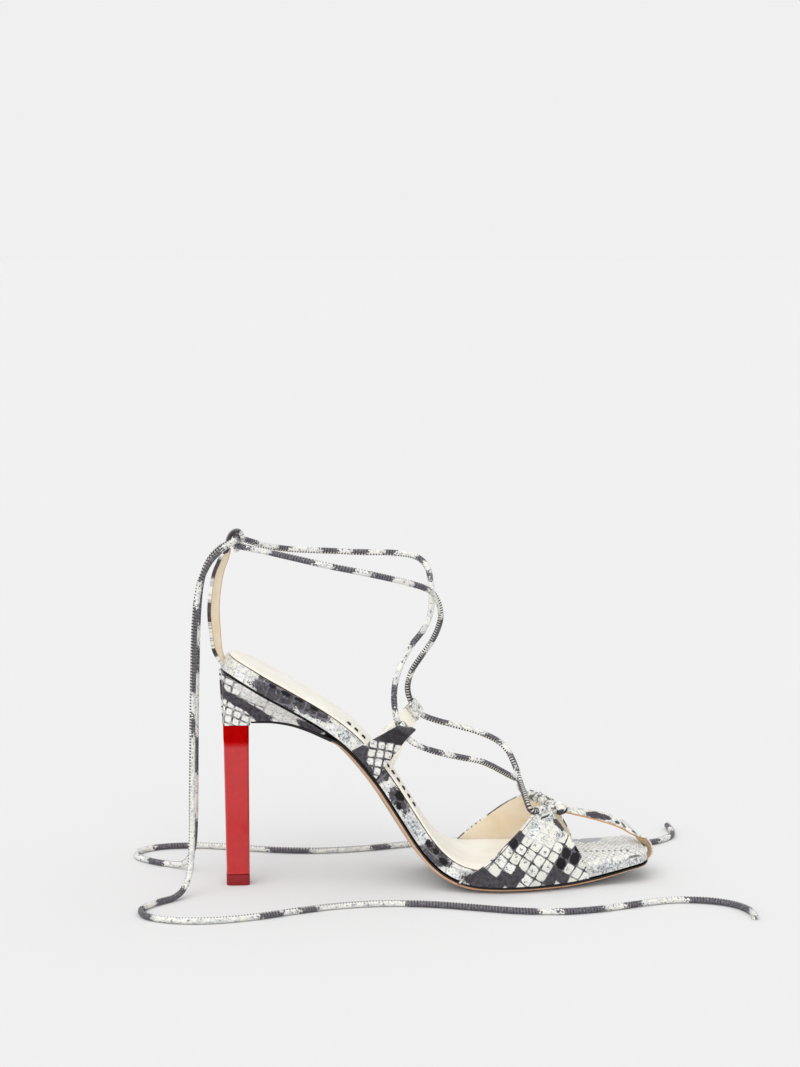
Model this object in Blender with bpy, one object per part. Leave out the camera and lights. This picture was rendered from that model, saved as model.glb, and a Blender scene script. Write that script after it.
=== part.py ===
"""Lace-up sandal on a slim high heel, a right shoe, built from the sections of its last.

Sizes are millimetres in the last's own frame: x runs from the back of the heel to the toe,
y from the lateral side (negative) to the medial side, z up from the floor. Meshes are written
in metres, moved so that the origin lies on the floor under the middle of the shoe.
"""

import math

import bmesh
import bpy
import numpy as np

MM = 0.001

# Driving dimensions, in millimetres
SHOE_LENGTH = 209.0
HEEL_BACK = 2.4
FLOOR_CENTRE = (104.1, 1.8)
SEAM_GAP = 0.3

HEEL_ROUND = 24.0
HEEL_TURNS = (10, 22, 36, 52, 70)
TOE_ROUND = 8.5
TOE_TURNS = (72, 54, 38, 24, 12)
TOE_SQUARENESS = 3.0
SECTION_STEP = 7.0
END_SKIP = 0.25

SOCK_THICKNESS = 1.0
SOCK_INSET = 1.2
SOCK_JOIN_X = 166.0
RIM_CHAMFER = 0.9
BED_SHARES = (-1.0, -0.94, -0.5, 0.0, 0.5, 0.94, 1.0)

OUTSOLE_THICKNESS = 3.0
OUTSOLE_TOE_THICKNESS = 2.2
OUTSOLE_EDGE_RISE = 1.3
OUTSOLE_TAPER = 0.985
SOLE_SHARES = (-1.0, -0.8, -0.4, 0.0, 0.4, 0.8, 1.0)
TREAD_END = 170.0
WAIST_X = 61.0
WAIST_RUN = 45.0
WAIST_INSET = 2.4
TAIL_TAPER = 0.96
TAIL_ROUND = 0.2

CUP_BACK_LEAN = 1.5
CUP_FRONT_X = 50.4
CUP_SIDE_X = (20.0, CUP_FRONT_X)
CUP_SIDE_RINGS = 7
CUP_LEVELS = (0.0, 0.2, 0.45, 0.72, 1.0)
CUP_HOLLOW = 1.7
CUP_FOOT = 6.4
CUP_TAPER = 0.92
CUP_LEAST = 0.6
POST_TOP = 78.8
POST_CORNER = 1.8
TIP_HEIGHT = 5.2

STRAP_THICKNESS = 1.5
PANEL_ROWS = 13
PANEL_COLUMNS = 11
TOE_STRAP_WIDTH = 7.0
TOE_STRAP_STEP = 3.6
ROLL_RADIUS = 2.9
ROLL_SIDES = 10
ROLL_STEP = 4.0
KNOT_RADIUS = 3.6

TAB_THICKNESS = 1.8
TAB_FOOT = 1.0
TAB_BULGE = 1.2
TUNNEL_CLEARANCE = 0.65
TUNNEL_WALL = 1.3
TUNNEL_LENGTH = 7.4
TUNNEL_SIDES = 14
HEEL_STRAP_WIDTH = 8.6
HEEL_STRAP_THICKNESS = 1.6
HEEL_STRAP_ROWS = 16
HEEL_LOOP_LENGTH = 7.0

CORD_DIAMETER = 3.0
CORD_SIDES = 8
LACE_STEP = 5.4
TIE_STEP = 7.4
TIE_LENGTH = 555.0

# Finishes: base colour and roughness
SNAKE_PRINT = ((0.72, 0.71, 0.68), 0.4)
CREAM_LEATHER = ((0.87, 0.82, 0.7), 0.5)
TAN_LEATHER = ((0.64, 0.37, 0.24), 0.45)
RED_LACQUER = ((0.55, 0.02, 0.02), 0.15)
RED_RUBBER = ((0.42, 0.02, 0.025), 0.45)
LACE_LEATHER = ((0.5, 0.49, 0.48), 0.5)


def columns(names, *table):
    """A table as one array for each named column."""
    return {name: np.array([row[i] for row in table], float) for i, name in enumerate(names)}


def rows(table, *names):
    """The rows of a table, with the named columns in order."""
    return zip(*(table[name] for name in names))


# Sections of the last: footbed height, rim height, half widths and the arch's lift
LAST = columns(
    ("x", "bed", "rim", "lateral", "medial", "lift"),
    (2.4, 113.9, 7.8, 24.0, 24.0, 0.0),
    (10.0, 110.8, 7.8, 24.0, 24.0, 0.0),
    (24.0, 103.0, 7.8, 24.0, 24.0, 0.0),
    (38.0, 94.8, 7.6, 23.8, 23.2, 0.0),
    (50.0, 87.4, 7.4, 23.5, 21.8, 0.2),
    (60.0, 80.0, 7.2, 23.0, 20.3, 0.8),
    (67.0, 73.5, 7.1, 22.6, 19.4, 1.2),
    (81.0, 56.3, 7.1, 22.2, 18.4, 1.5),
    (88.4, 45.0, 7.1, 22.6, 18.8, 1.2),
    (95.6, 33.4, 7.1, 23.8, 20.4, 0.7),
    (101.0, 25.2, 7.1, 25.4, 23.0, 0.3),
    (106.0, 19.2, 7.1, 26.9, 26.0, 0.0),
    (111.0, 15.0, 7.1, 28.3, 29.0, 0.0),
    (117.0, 12.0, 7.1, 30.0, 32.0, 0.0),
    (124.0, 10.6, 7.1, 31.9, 34.6, 0.0),
    (135.0, 10.2, 7.0, 33.5, 36.9, 0.0),
    (147.0, 10.1, 7.0, 32.4, 37.2, 0.0),
    (162.0, 10.2, 7.0, 28.6, 34.8, 0.0),
    (178.0, 11.0, 6.6, 23.9, 30.8, 0.0),
    (190.0, 12.2, 5.8, 20.9, 28.0, 0.0),
    (200.0, 13.5, 5.0, 18.7, 25.4, 0.0),
    (209.0, 14.7, 4.4, 17.0, 23.0, 0.0),
)

# The outsole where it runs back under the heel cup to the post
SOLE_TAIL = columns(
    ("x", "top", "thickness", "half_width"),
    (15.2, 80.6, 0.9, 5.4),
    (24.0, 80.9, 1.1, 7.2),
    (33.0, 80.1, 1.3, 9.6),
    (42.0, 77.9, 1.7, 12.6),
    (49.0, 75.5, 2.2, 15.4),
)

# The heel post from the tip to its seat under the cup
POST = columns(
    ("z", "back", "front", "half_width"),
    (TIP_HEIGHT + SEAM_GAP, 3.1, 14.3, 5.6),
    (40.0, 2.6, 14.25, 5.8),
    (POST_TOP, 1.9, 14.2, 6.2),
)

# Vamp panels, a row for each height: where the back and front edges stand, and how far
# out they reach as a share of the last's half width
LATERAL_PANEL = columns(
    ("back_x", "back_z", "back_reach", "front_x", "front_z", "front_reach"),
    (113.0, 4.9, 1.00, 177.8, 4.9, 1.00),
    (121.5, 11.0, 1.03, 175.0, 12.6, 1.00),
    (129.6, 17.6, 1.01, 171.2, 19.4, 0.90),
    (136.0, 23.6, 0.94, 166.8, 25.8, 0.70),
    (143.8, 29.9, 0.79, 162.8, 31.2, 0.44),
    (150.4, 35.0, 0.58, 160.8, 34.0, 0.26),
)
MEDIAL_PANEL = columns(
    ("back_x", "back_z", "back_reach", "front_x", "front_z", "front_reach"),
    (113.0, 5.0, 1.00, 179.6, 5.0, 1.00),
    (121.5, 12.6, 1.03, 177.4, 12.6, 1.00),
    (130.4, 19.6, 0.97, 174.0, 19.4, 0.88),
    (137.4, 25.6, 0.87, 170.2, 25.2, 0.66),
    (144.6, 32.4, 0.67, 165.8, 31.4, 0.40),
    (150.4, 37.4, 0.45, 162.4, 34.8, 0.17),
)

# Gathered tunnels at the top of the panels, back end to front end
LATERAL_ROLL = ((153.2, -14.8, 36.0), (159.0, -8.4, 35.6), (164.2, -1.2, 34.0))
MEDIAL_ROLL = ((153.6, 13.8, 38.4), (159.4, 8.4, 37.2), (164.4, 1.8, 34.6))
KNOT_CENTRE = (164.8, 0.4, 34.0)
KNOT_AXIS = (1.0, 0.0, -0.18)
KNOT_SHAPE = ((-1.0, 0.35), (-0.7, 0.75), (0.0, 1.0), (0.7, 0.75), (1.0, 0.35))

# Toe strap along its inner face, from the knot over the toe
TOE_STRAP = (
    (165.0, 0.6, 33.2),
    (175.0, 1.2, 31.2),
    (186.0, 1.8, 28.6),
    (194.0, 2.0, 26.0),
    (200.6, 2.0, 22.6),
    (205.8, 2.0, 18.0),
    (210.0, 2.0, 14.9),
    (212.0, 2.0, 12.0),
    (211.9, 2.0, 9.0),
)

# Instep tabs: base edge on the rim, and the lace tunnel that ends them
LATERAL_TAB = {
    "side": -1.0,
    "base_back_x": 67.2,
    "base_front_x": 79.2,
    "tunnel": (87.3, -25.0, 78.8),
    "tunnel_axis": (-0.58, 0.0, 0.81),
}
MEDIAL_TAB = {
    "side": 1.0,
    "base_back_x": 75.4,
    "base_front_x": 86.8,
    "tunnel": (98.1, 25.0, 81.0),
    "tunnel_axis": (-0.63, 0.0, 0.78),
}

# Heel strap along its inner face, with its twist out of square
HEEL_STRAP = columns(
    ("z", "x", "twist"),
    (107.2, -0.5, 0.0),
    (113.0, 0.7, 4.0),
    (117.0, 0.4, 16.0),
    (124.0, -0.9, 29.0),
    (134.0, -1.5, 33.0),
    (143.0, -0.9, 33.0),
    (151.0, 0.4, 30.0),
    (157.0, 2.2, 25.0),
    (160.5, 4.0, 15.0),
    (163.8, 6.3, 6.0),
)
HEEL_LOOP_CENTRE = (8.3, 0.0, 168.2)
HEEL_LOOP_BORE = (2.8, 4.4)
HEEL_LOOP_UP = (0.35, 0.0, 1.0)

# Lace routes from the vamp to the far side of the heel loop
LACE_TO_LATERAL_TAB = (
    (152.6, 14.7, 38.7),
    (151.2, 15.6, 39.4),
    (149.5, 15.0, 41.3),
    (148.4, 11.4, 43.9),
    (147.9, 7.0, 46.1),
    (147.0, 2.4, 48.2),
    (143.0, -1.2, 50.6),
    (136.6, -5.6, 54.8),
    (131.2, -9.2, 58.2),
    (125.9, -12.2, 60.8),
    (115.6, -17.0, 63.9),
    (105.5, -21.2, 67.0),
    (96.5, -24.2, 70.6),
    (90.6, -25.0, 74.2),
    (87.3, -25.0, 78.8),
    (84.8, -25.0, 82.9),
    (83.2, -24.6, 91.0),
    (83.4, -23.6, 100.0),
    (86.2, -20.8, 109.0),
    (91.8, -15.4, 118.0),
    (99.0, -9.2, 125.8),
    (102.6, -3.8, 133.4),
    (103.5, 1.4, 141.8),
    (103.5, 6.8, 148.0),
    (102.0, 14.6, 153.8),
    (97.2, 21.8, 157.2),
    (87.0, 28.0, 158.3),
    (71.8, 31.2, 158.4),
    (54.7, 30.0, 159.4),
    (37.3, 24.6, 160.9),
    (24.5, 16.8, 163.6),
    (15.0, 10.6, 167.0),
    (10.4, 6.0, 169.2),
    (8.9, 1.0, 169.8),
    (8.8, -5.0, 169.8),
)
LACE_TO_MEDIAL_TAB = (
    (152.4, -15.6, 36.1),
    (150.9, -16.9, 36.5),
    (149.3, -16.8, 38.5),
    (148.4, -13.2, 41.6),
    (147.7, -8.0, 44.6),
    (146.8, -1.0, 48.6),
    (145.4, 4.6, 54.6),
    (142.2, 10.2, 61.6),
    (137.2, 14.6, 66.0),
    (128.5, 19.0, 69.5),
    (118.0, 22.2, 72.2),
    (108.4, 24.4, 74.6),
    (101.4, 25.0, 77.3),
    (98.1, 25.0, 81.0),
    (95.3, 25.0, 85.1),
    (93.9, 24.2, 91.6),
    (95.6, 20.8, 100.0),
    (100.0, 16.4, 108.2),
    (105.4, 10.8, 117.8),
    (108.2, 5.0, 127.6),
    (107.4, 0.8, 135.0),
    (104.0, -3.6, 141.6),
    (98.4, -11.6, 145.8),
    (90.6, -18.8, 149.0),
    (81.4, -24.8, 152.0),
    (67.3, -30.2, 155.8),
    (51.0, -31.2, 159.3),
    (34.9, -25.8, 162.6),
    (23.6, -17.2, 164.4),
    (14.6, -11.0, 165.6),
    (9.6, -6.2, 166.4),
    (7.9, -1.0, 166.5),
    (7.6, 5.0, 166.5),
)

# Free ties: out of the heel loop, down behind the heel and loosely along the floor
TIE_FLOOR = 1.6
LATERAL_TIE = (
    (8.8, -5.6, 169.8),
    (8.7, -9.4, 169.8),
    (6.8, -13.8, 169.0),
    (1.6, -18.4, 166.2),
    (-4.8, -21.6, 159.8),
    (-9.4, -22.8, 149.0),
    (-11.6, -22.6, 132.0),
    (-12.6, -21.8, 106.0),
    (-13.2, -21.2, 78.0),
    (-13.6, -21.0, 50.0),
    (-13.8, -21.4, 27.0),
    (-14.8, -23.2, 12.4),
    (-18.0, -28.0, 4.4),
    (-23.6, -35.0, TIE_FLOOR),
    (-32.0, -43.6, TIE_FLOOR),
    (-38.0, -55.0, TIE_FLOOR),
    (-35.0, -68.0, TIE_FLOOR),
    (-22.0, -76.6, TIE_FLOOR),
    (-4.0, -78.0, TIE_FLOOR),
    (15.0, -72.6, TIE_FLOOR),
    (34.0, -63.6, TIE_FLOOR),
    (54.0, -55.8, TIE_FLOOR),
    (76.0, -53.0, TIE_FLOOR),
    (98.0, -56.6, TIE_FLOOR),
    (118.0, -64.6, TIE_FLOOR),
    (138.0, -72.6, TIE_FLOOR),
    (158.0, -75.4, TIE_FLOOR),
    (178.0, -71.4, TIE_FLOOR),
    (196.0, -63.6, TIE_FLOOR),
    (212.0, -58.6, TIE_FLOOR),
    (228.0, -60.6, TIE_FLOOR),
    (240.0, -69.6, TIE_FLOOR),
    (245.0, -84.0, TIE_FLOOR),
    (243.0, -100.0, TIE_FLOOR),
    (240.0, -120.0, TIE_FLOOR),
)
MEDIAL_TIE = (
    (7.6, 5.6, 166.5),
    (7.5, 9.4, 166.5),
    (6.0, 13.8, 165.5),
    (1.4, 18.2, 162.4),
    (-4.0, 21.2, 156.0),
    (-7.6, 22.4, 146.0),
    (-9.4, 22.2, 130.0),
    (-10.4, 21.2, 104.0),
    (-11.0, 20.4, 76.0),
    (-11.4, 20.2, 48.0),
    (-11.8, 20.8, 26.0),
    (-13.0, 23.0, 12.0),
    (-16.6, 28.2, 4.2),
    (-23.0, 35.0, TIE_FLOOR),
    (-32.6, 42.6, TIE_FLOOR),
    (-40.4, 53.4, TIE_FLOOR),
    (-39.4, 66.6, TIE_FLOOR),
    (-27.6, 75.4, TIE_FLOOR),
    (-9.6, 76.4, TIE_FLOOR),
    (10.0, 70.4, TIE_FLOOR),
    (30.0, 63.0, TIE_FLOOR),
    (52.0, 59.6, TIE_FLOOR),
    (74.0, 62.4, TIE_FLOOR),
    (96.0, 69.2, TIE_FLOOR),
    (118.0, 75.2, TIE_FLOOR),
    (140.0, 76.2, TIE_FLOOR),
    (160.0, 71.0, TIE_FLOOR),
    (178.0, 63.0, TIE_FLOOR),
    (196.0, 58.0, TIE_FLOOR),
    (214.0, 59.4, TIE_FLOOR),
    (229.0, 67.0, TIE_FLOOR),
    (238.0, 80.0, TIE_FLOOR),
    (240.0, 96.0, TIE_FLOOR),
    (239.0, 120.0, TIE_FLOOR),
)


def ease(xs, ys, x):
    """Smooth value at x through the points, without overshoot."""
    steps = np.diff(xs)
    slopes = np.diff(ys) / steps
    tangents = np.empty(len(xs))
    tangents[0] = slopes[0]
    tangents[-1] = slopes[-1]
    product = slopes[:-1] * slopes[1:]
    total = np.where(product > 0, slopes[:-1] + slopes[1:], 1.0)
    tangents[1:-1] = np.where(product > 0, 2 * product / total, 0.0)
    i = int(np.clip(np.searchsorted(xs, x) - 1, 0, len(steps) - 1))
    t = (min(max(x, xs[0]), xs[-1]) - xs[i]) / steps[i]
    return (
        ys[i] * (2 * t**3 - 3 * t**2 + 1)
        + ys[i + 1] * (3 * t**2 - 2 * t**3)
        + steps[i] * tangents[i] * (t**3 - 2 * t**2 + t)
        + steps[i] * tangents[i + 1] * (t**3 - t**2)
    )


def last(column, x):
    return ease(LAST["x"], LAST[column], x)


def half_width(side, x):
    """Half width of the footbed at x, rounded off at the heel and squared at the toe."""
    width = last(side, x)
    from_heel = max(x - HEEL_BACK, 0)
    if from_heel < HEEL_ROUND:
        width *= math.sqrt(1 - (1 - from_heel / HEEL_ROUND) ** 2)
    from_toe = SHOE_LENGTH - x
    if from_toe < TOE_ROUND:
        corner = 1 - (1 - max(from_toe, 0) / TOE_ROUND) ** TOE_SQUARENESS
        width *= max(corner, 0) ** (1 / TOE_SQUARENESS)
    return width


def bed_normal(x):
    small = 0.5
    rise = (last("bed", x + small) - last("bed", x - small)) / (2 * small)
    length = math.hypot(1, rise)
    return np.array((-rise / length, 0, 1 / length))


def bed(x, y, depth):
    """A point of the footbed at x and y, depth below its top, with the medial arch raised."""
    arch = last("lift", x) * max(y / last("medial", x), 0) ** 2
    return np.array((x, y, last("bed", x))) + bed_normal(x) * (arch - depth)


def half_width_beside(side, x, z):
    """Half width of the footbed beside a point of its rim, measured square to the bed."""
    foot = x
    for _ in range(5):
        normal = bed_normal(foot)
        depth = max(last("bed", foot) - z, 0) / normal[2]
        foot = x + depth * normal[0]
    return half_width(side, foot)


def stations(start, end, step):
    """Places along the last, closer together on the rounded heel and toe."""
    turn = [HEEL_BACK + HEEL_ROUND * (1 - math.cos(math.radians(a))) for a in HEEL_TURNS]
    corner = [SHOE_LENGTH - TOE_ROUND * (1 - math.cos(math.radians(a))) for a in TOE_TURNS]
    full = HEEL_BACK + HEEL_ROUND
    count = round((corner[0] - step / 2 - full) / step)
    middle = list(np.linspace(full, corner[0] - step / 2, count + 1))
    kept = [x for x in turn + middle + corner if start < x < end]
    return [start] + kept + [end]


def across(x, inset, share):
    """A place across the footbed: share runs from -1 on the lateral rim to 1 on the medial."""
    side = "lateral" if share < 0 else "medial"
    return share * max(half_width(side, x) - inset, 1.0)


def mesh_object(name, points, faces, finish):
    mesh = bpy.data.meshes.new(name)
    centre = np.array((*FLOOR_CENTRE, 0.0))
    mesh.from_pydata([tuple((p - centre) * MM) for p in np.asarray(points, float)], [], faces)
    model = bmesh.new()
    model.from_mesh(mesh)
    bmesh.ops.recalc_face_normals(model, faces=model.faces)
    model.to_mesh(mesh)
    model.free()
    mesh.shade_smooth()
    mesh.set_sharp_from_angle(angle=math.radians(40))
    return linked(name, mesh, finish)


def linked(name, data, finish):
    obj = bpy.data.objects.new(name, data)
    bpy.context.scene.collection.objects.link(obj)
    data.materials.append(material(name, finish))
    obj.parent = ROOT
    return obj


def material(name, finish):
    colour, roughness = finish
    made = bpy.data.materials.new(name)
    made.use_nodes = True
    shader = made.node_tree.nodes["Principled BSDF"]
    shader.inputs["Base Color"].default_value = (*colour, 1)
    shader.inputs["Roughness"].default_value = roughness
    shader.inputs["Metallic"].default_value = 0.0
    return made


def shell(name, first, second, finish):
    """A closed solid between two grids of points of the same size."""
    first = np.asarray(first, float)
    second = np.asarray(second, float)
    lines, cols = first.shape[:2]
    offset = lines * cols
    faces = []
    for i in range(lines - 1):
        for j in range(cols - 1):
            a = i * cols + j
            quad = (a, a + 1, a + cols + 1, a + cols)
            faces.append(quad)
            faces.append(tuple(k + offset for k in reversed(quad)))
    border = [j for j in range(cols)]
    border += [i * cols + cols - 1 for i in range(1, lines)]
    border += [(lines - 1) * cols + j for j in range(cols - 2, -1, -1)]
    border += [i * cols for i in range(lines - 2, 0, -1)]
    for a, b in zip(border, border[1:] + border[:1]):
        faces.append((b, a, a + offset, b + offset))
    points = np.concatenate((first.reshape(-1, 3), second.reshape(-1, 3)))
    return mesh_object(name, points, faces, finish)


def loft(name, rings, finish, closed=False):
    """A solid through rings of points, capped at both ends or closed on itself."""
    count = len(rings[0])
    faces = []
    for i in range(len(rings) if closed else len(rings) - 1):
        here = i * count
        there = (i + 1) % len(rings) * count
        for j in range(count):
            k = (j + 1) % count
            faces.append((here + j, here + k, there + k, there + j))
    if not closed:
        faces.append(tuple(reversed(range(count))))
        faces.append(tuple((len(rings) - 1) * count + j for j in range(count)))
    return mesh_object(name, np.concatenate(rings), faces, finish)


def unite(base, *others):
    """Joins solids that overlap into the first one."""
    for other in others:
        other.hide_render = True
        other.display_type = "WIRE"
        join = base.modifiers.new("join " + other.name, "BOOLEAN")
        join.operation = "UNION"
        join.solver = "EXACT"
        join.object = other


def unit(vector):
    return np.asarray(vector, float) / np.linalg.norm(vector)


def offset_grid(grid, thickness, outward):
    """The grid moved by thickness along its normals, on the side that outward points to."""
    grid = np.asarray(grid, float)
    normals = np.cross(np.gradient(grid, axis=0), np.gradient(grid, axis=1))
    normals /= np.linalg.norm(normals, axis=2, keepdims=True)
    facing = np.sign((normals * np.asarray(outward)).sum(axis=2, keepdims=True).mean())
    return grid + normals * thickness * facing


def flowing(points, step):
    """Evenly spaced points along a smooth curve through the given points."""
    points = np.asarray(points, float)
    ends = np.concatenate((2 * points[:1] - points[1:2], points, 2 * points[-1:] - points[-2:-1]))
    fine = []
    for a, b, c, d in zip(ends, ends[1:], ends[2:], ends[3:]):
        spread = [math.sqrt(np.linalg.norm(q - p)) for p, q in ((a, b), (b, c), (c, d))]
        out = (c - a) / (spread[0] + spread[1]) * spread[1]
        into = (d - b) / (spread[1] + spread[2]) * spread[1]
        out = out if spread[0] > 0 else c - b
        for t in np.arange(0, 1, 0.05):
            fine.append(
                b * (2 * t**3 - 3 * t**2 + 1)
                + c * (3 * t**2 - 2 * t**3)
                + out * (t**3 - 2 * t**2 + t)
                + into * (t**3 - t**2)
            )
    fine.append(points[-1])
    fine = np.array(fine)
    run = np.concatenate(([0], np.cumsum(np.linalg.norm(np.diff(fine, axis=0), axis=1))))
    count = max(round(run[-1] / step), 2)
    places = np.linspace(0, run[-1], count + 1)
    return np.stack([np.interp(places, run, fine[:, k]) for k in range(3)], axis=1)


def cut_to(points, length):
    """The start of a run of points, as long as length."""
    steps = np.linalg.norm(np.diff(points, axis=0), axis=1)
    run = np.concatenate(([0], np.cumsum(steps)))
    kept = points[run < length - CORD_DIAMETER]
    end = [np.interp(length, run, points[:, k]) for k in range(3)]
    return np.concatenate((kept, [end]))


def tube_rings(path, radius, sides):
    """Round rings along a path, kept from twisting."""
    tangents = np.gradient(path, axis=0)
    tangents /= np.linalg.norm(tangents, axis=1, keepdims=True)
    across_path = unit(np.cross(tangents[0], (0.3, 0.2, 1.0)))
    rings = []
    for point, tangent in zip(path, tangents):
        across_path = unit(across_path - tangent * (across_path @ tangent))
        over = np.cross(tangent, across_path)
        angles = [2 * math.pi * k / sides for k in range(sides)]
        rings.append([point + radius * (math.cos(a) * across_path + math.sin(a) * over) for a in angles])
    return np.array(rings)


def pipe(name, centre, axis, upright, bore, length):
    """An oval pipe: bore gives its inner half sizes beside and along the upright direction."""
    axis = unit(axis)
    beside = unit(np.cross(axis, upright))
    upright = np.cross(beside, axis)
    rings = []
    for wall, end in ((TUNNEL_WALL, -1), (TUNNEL_WALL, 1), (0, 1), (0, -1)):
        ring = []
        for k in range(TUNNEL_SIDES):
            a = 2 * math.pi * k / TUNNEL_SIDES
            spread = (bore[0] + wall) * math.cos(a) * beside + (bore[1] + wall) * math.sin(a) * upright
            ring.append(np.asarray(centre) + spread + axis * end * length / 2)
        rings.append(ring)
    return loft(name, np.array(rings), SNAKE_PRINT, closed=True)


def slab(name, places, inset, top, bottom, finish, chamfer=0.0):
    """A layer of the sole between two depths, which may change along the last."""
    over, under = [], []
    for x in places:
        run = (x - HEEL_BACK) / (SHOE_LENGTH - HEEL_BACK)
        inside = HEEL_BACK + inset + (SHOE_LENGTH - HEEL_BACK - 2 * inset) * run
        over.append([])
        under.append([])
        for share in BED_SHARES:
            y = across(x, inset, share)
            edge = chamfer if abs(share) == 1 else 0.0
            over[-1].append(bed(inside, y, top(x) + edge))
            under[-1].append(bed(inside, y, bottom(x)))
    return shell(name, over, under, finish)


def make_sole():
    """The footbed with its covered rim, and the two parts of the sock on top of it."""
    whole = stations(HEEL_BACK + END_SKIP, SHOE_LENGTH - END_SKIP, SECTION_STEP)
    slab("footbed", whole, 0.0, lambda x: 0.0, lambda x: last("rim", x), SNAKE_PRINT, RIM_CHAMFER)
    low = -SEAM_GAP
    high = low - SOCK_THICKNESS
    toe_start = SOCK_JOIN_X + SEAM_GAP
    lining = [x for x in whole if x < SOCK_JOIN_X] + [SOCK_JOIN_X]
    toe_part = [toe_start] + [x for x in whole if x > toe_start]
    for name, places, finish in (
        ("sock_lining", lining, CREAM_LEATHER),
        ("sock_toe", toe_part, SNAKE_PRINT),
    ):
        slab(name, places, SOCK_INSET, lambda x: high, lambda x: low, finish)


def make_outsole():
    """The outsole: thin under the heel cup, full from the waist to the toe."""
    over, under = [], []
    for x, top, thick, half in rows(SOLE_TAIL, "x", "top", "thickness", "half_width"):
        over.append([(x, half * s, top) for s in SOLE_SHARES])
        under.append([(x, half * s * TAIL_TAPER, top - thick * (1 - TAIL_ROUND * s**4)) for s in SOLE_SHARES])
    whole = stations(HEEL_BACK + END_SKIP, SHOE_LENGTH - END_SKIP, SECTION_STEP)
    for x in [x for x in whole if x > WAIST_X]:
        top_depth = last("rim", x) + SEAM_GAP
        inset = WAIST_INSET * max(0.0, 1 - (x - WAIST_X) / WAIST_RUN)
        thin = max(0.0, (x - TREAD_END) / (SHOE_LENGTH - TREAD_END))
        thick = OUTSOLE_THICKNESS + (OUTSOLE_TOE_THICKNESS - OUTSOLE_THICKNESS) * thin
        over.append([])
        under.append([])
        for share in SOLE_SHARES:
            y = across(x, inset, share)
            rise = OUTSOLE_EDGE_RISE * abs(share) ** 3
            low = bed(x, y * OUTSOLE_TAPER, top_depth + thick - rise)
            low[2] = max(low[2], 0.0)
            over[-1].append(bed(x, y, top_depth))
            under[-1].append(low)
    shell("outsole", over, under, TAN_LEATHER)


def make_heel():
    """The covered cup under the heel seat, the post and its tip."""
    under_seat = np.linspace(HEEL_BACK, CUP_FRONT_X + HEEL_ROUND, 60)
    samples = np.array([bed(x, 0.0, last("rim", x) + SEAM_GAP) for x in under_seat])

    def seat_height(x):
        return np.interp(x, samples[:, 0], samples[:, 2])

    def seat_width(side, x):
        return half_width(side, np.interp(x, samples[:, 0], under_seat))

    sole_back = SOLE_TAIL["x"][0] - SEAM_GAP
    back_turn = [HEEL_ROUND * (1 - math.cos(math.radians(a))) for a in HEEL_TURNS[:-1]]
    step_down = [sole_back - END_SKIP, sole_back]
    rings = []
    for x in back_turn + step_down + list(np.linspace(*CUP_SIDE_X, CUP_SIDE_RINGS)):
        top = seat_height(x) - SEAM_GAP
        low = POST_TOP if x < sole_back else ease(SOLE_TAIL["x"], SOLE_TAIL["top"], x)
        low = min(low + SEAM_GAP, top - CUP_LEAST)
        narrow = max(ease(SOLE_TAIL["x"], SOLE_TAIL["half_width"], x), CUP_FOOT)
        lean = CUP_BACK_LEAN * max(0.0, 1 - x / sole_back) / (seat_height(0) - POST_TOP)
        sides = []
        for sign, side in ((-1, "lateral"), (1, "medial")):
            wide = max(seat_width(side, x) - SEAM_GAP, 2 * CUP_LEAST)
            foot = min(narrow, wide * CUP_TAPER)
            column = []
            for t in CUP_LEVELS:
                z = top + (low - top) * t
                y = sign * (foot + (wide - foot) * (1 - t) ** CUP_HOLLOW)
                column.append((x + lean * (top - z), y, z))
            sides.append(column)
        rings.append(sides[0] + sides[1][::-1])
    loft("heel_cup", np.array(rings), SNAKE_PRINT)

    post = [post_ring(*row) for row in rows(POST, "z", "back", "front", "half_width")]
    loft("heel_post", post, RED_LACQUER)
    foot = tuple(POST[c][0] for c in ("back", "front", "half_width"))
    loft("heel_tip", [post_ring(0.0, *foot), post_ring(TIP_HEIGHT, *foot)], RED_RUBBER)


def post_ring(z, back, front, half):
    """A rectangle with rounded corners at height z."""
    ring = []
    for start, x, y in ((0, front, half), (90, back, half), (180, back, -half), (270, front, -half)):
        centre_x = x - math.copysign(POST_CORNER, x - (back + front) / 2)
        centre_y = y - math.copysign(POST_CORNER, y)
        for turn in (0, 30, 60, 90):
            a = math.radians(start + turn)
            ring.append((centre_x + POST_CORNER * math.cos(a), centre_y + POST_CORNER * math.sin(a), z))
    return np.array(ring)


def panel(name, table, side, sign):
    """One side of the vamp, from the sole's edge up to its gathered top."""
    level = np.arange(len(table["back_x"]))
    grid = []
    for h in np.linspace(0, level[-1], PANEL_ROWS):
        edge = {column: ease(level, values, h) for column, values in table.items()}
        row = []
        for u in np.linspace(0, 1, PANEL_COLUMNS):
            x, z, reach = (
                edge["back_" + c] + (edge["front_" + c] - edge["back_" + c]) * u for c in ("x", "z", "reach")
            )
            row.append((x, sign * (half_width_beside(side, x, z) * reach + SEAM_GAP), z))
        grid.append(row)
    return shell(name, grid, offset_grid(grid, STRAP_THICKNESS, (0, sign, 0.4)), SNAKE_PRINT)


def ribbon(path, across_path, width, cols=3):
    """A grid of points along a path, spread along across_path, one direction for each point."""
    spread = np.linspace(-width / 2, width / 2, cols)
    return [[p + w * s for s in spread] for p, w in zip(path, across_path)]


def make_knot():
    """A rounded lump along the toe strap's own slope."""
    path = np.array([np.add(KNOT_CENTRE, np.multiply(KNOT_AXIS, s * KNOT_RADIUS)) for s, _ in KNOT_SHAPE])
    rings = tube_rings(path, KNOT_RADIUS, ROLL_SIDES)
    for ring, centre, (_, share) in zip(rings, path, KNOT_SHAPE):
        ring[:] = centre + (ring - centre) * share
    return loft("vamp_knot", rings, SNAKE_PRINT)


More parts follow.
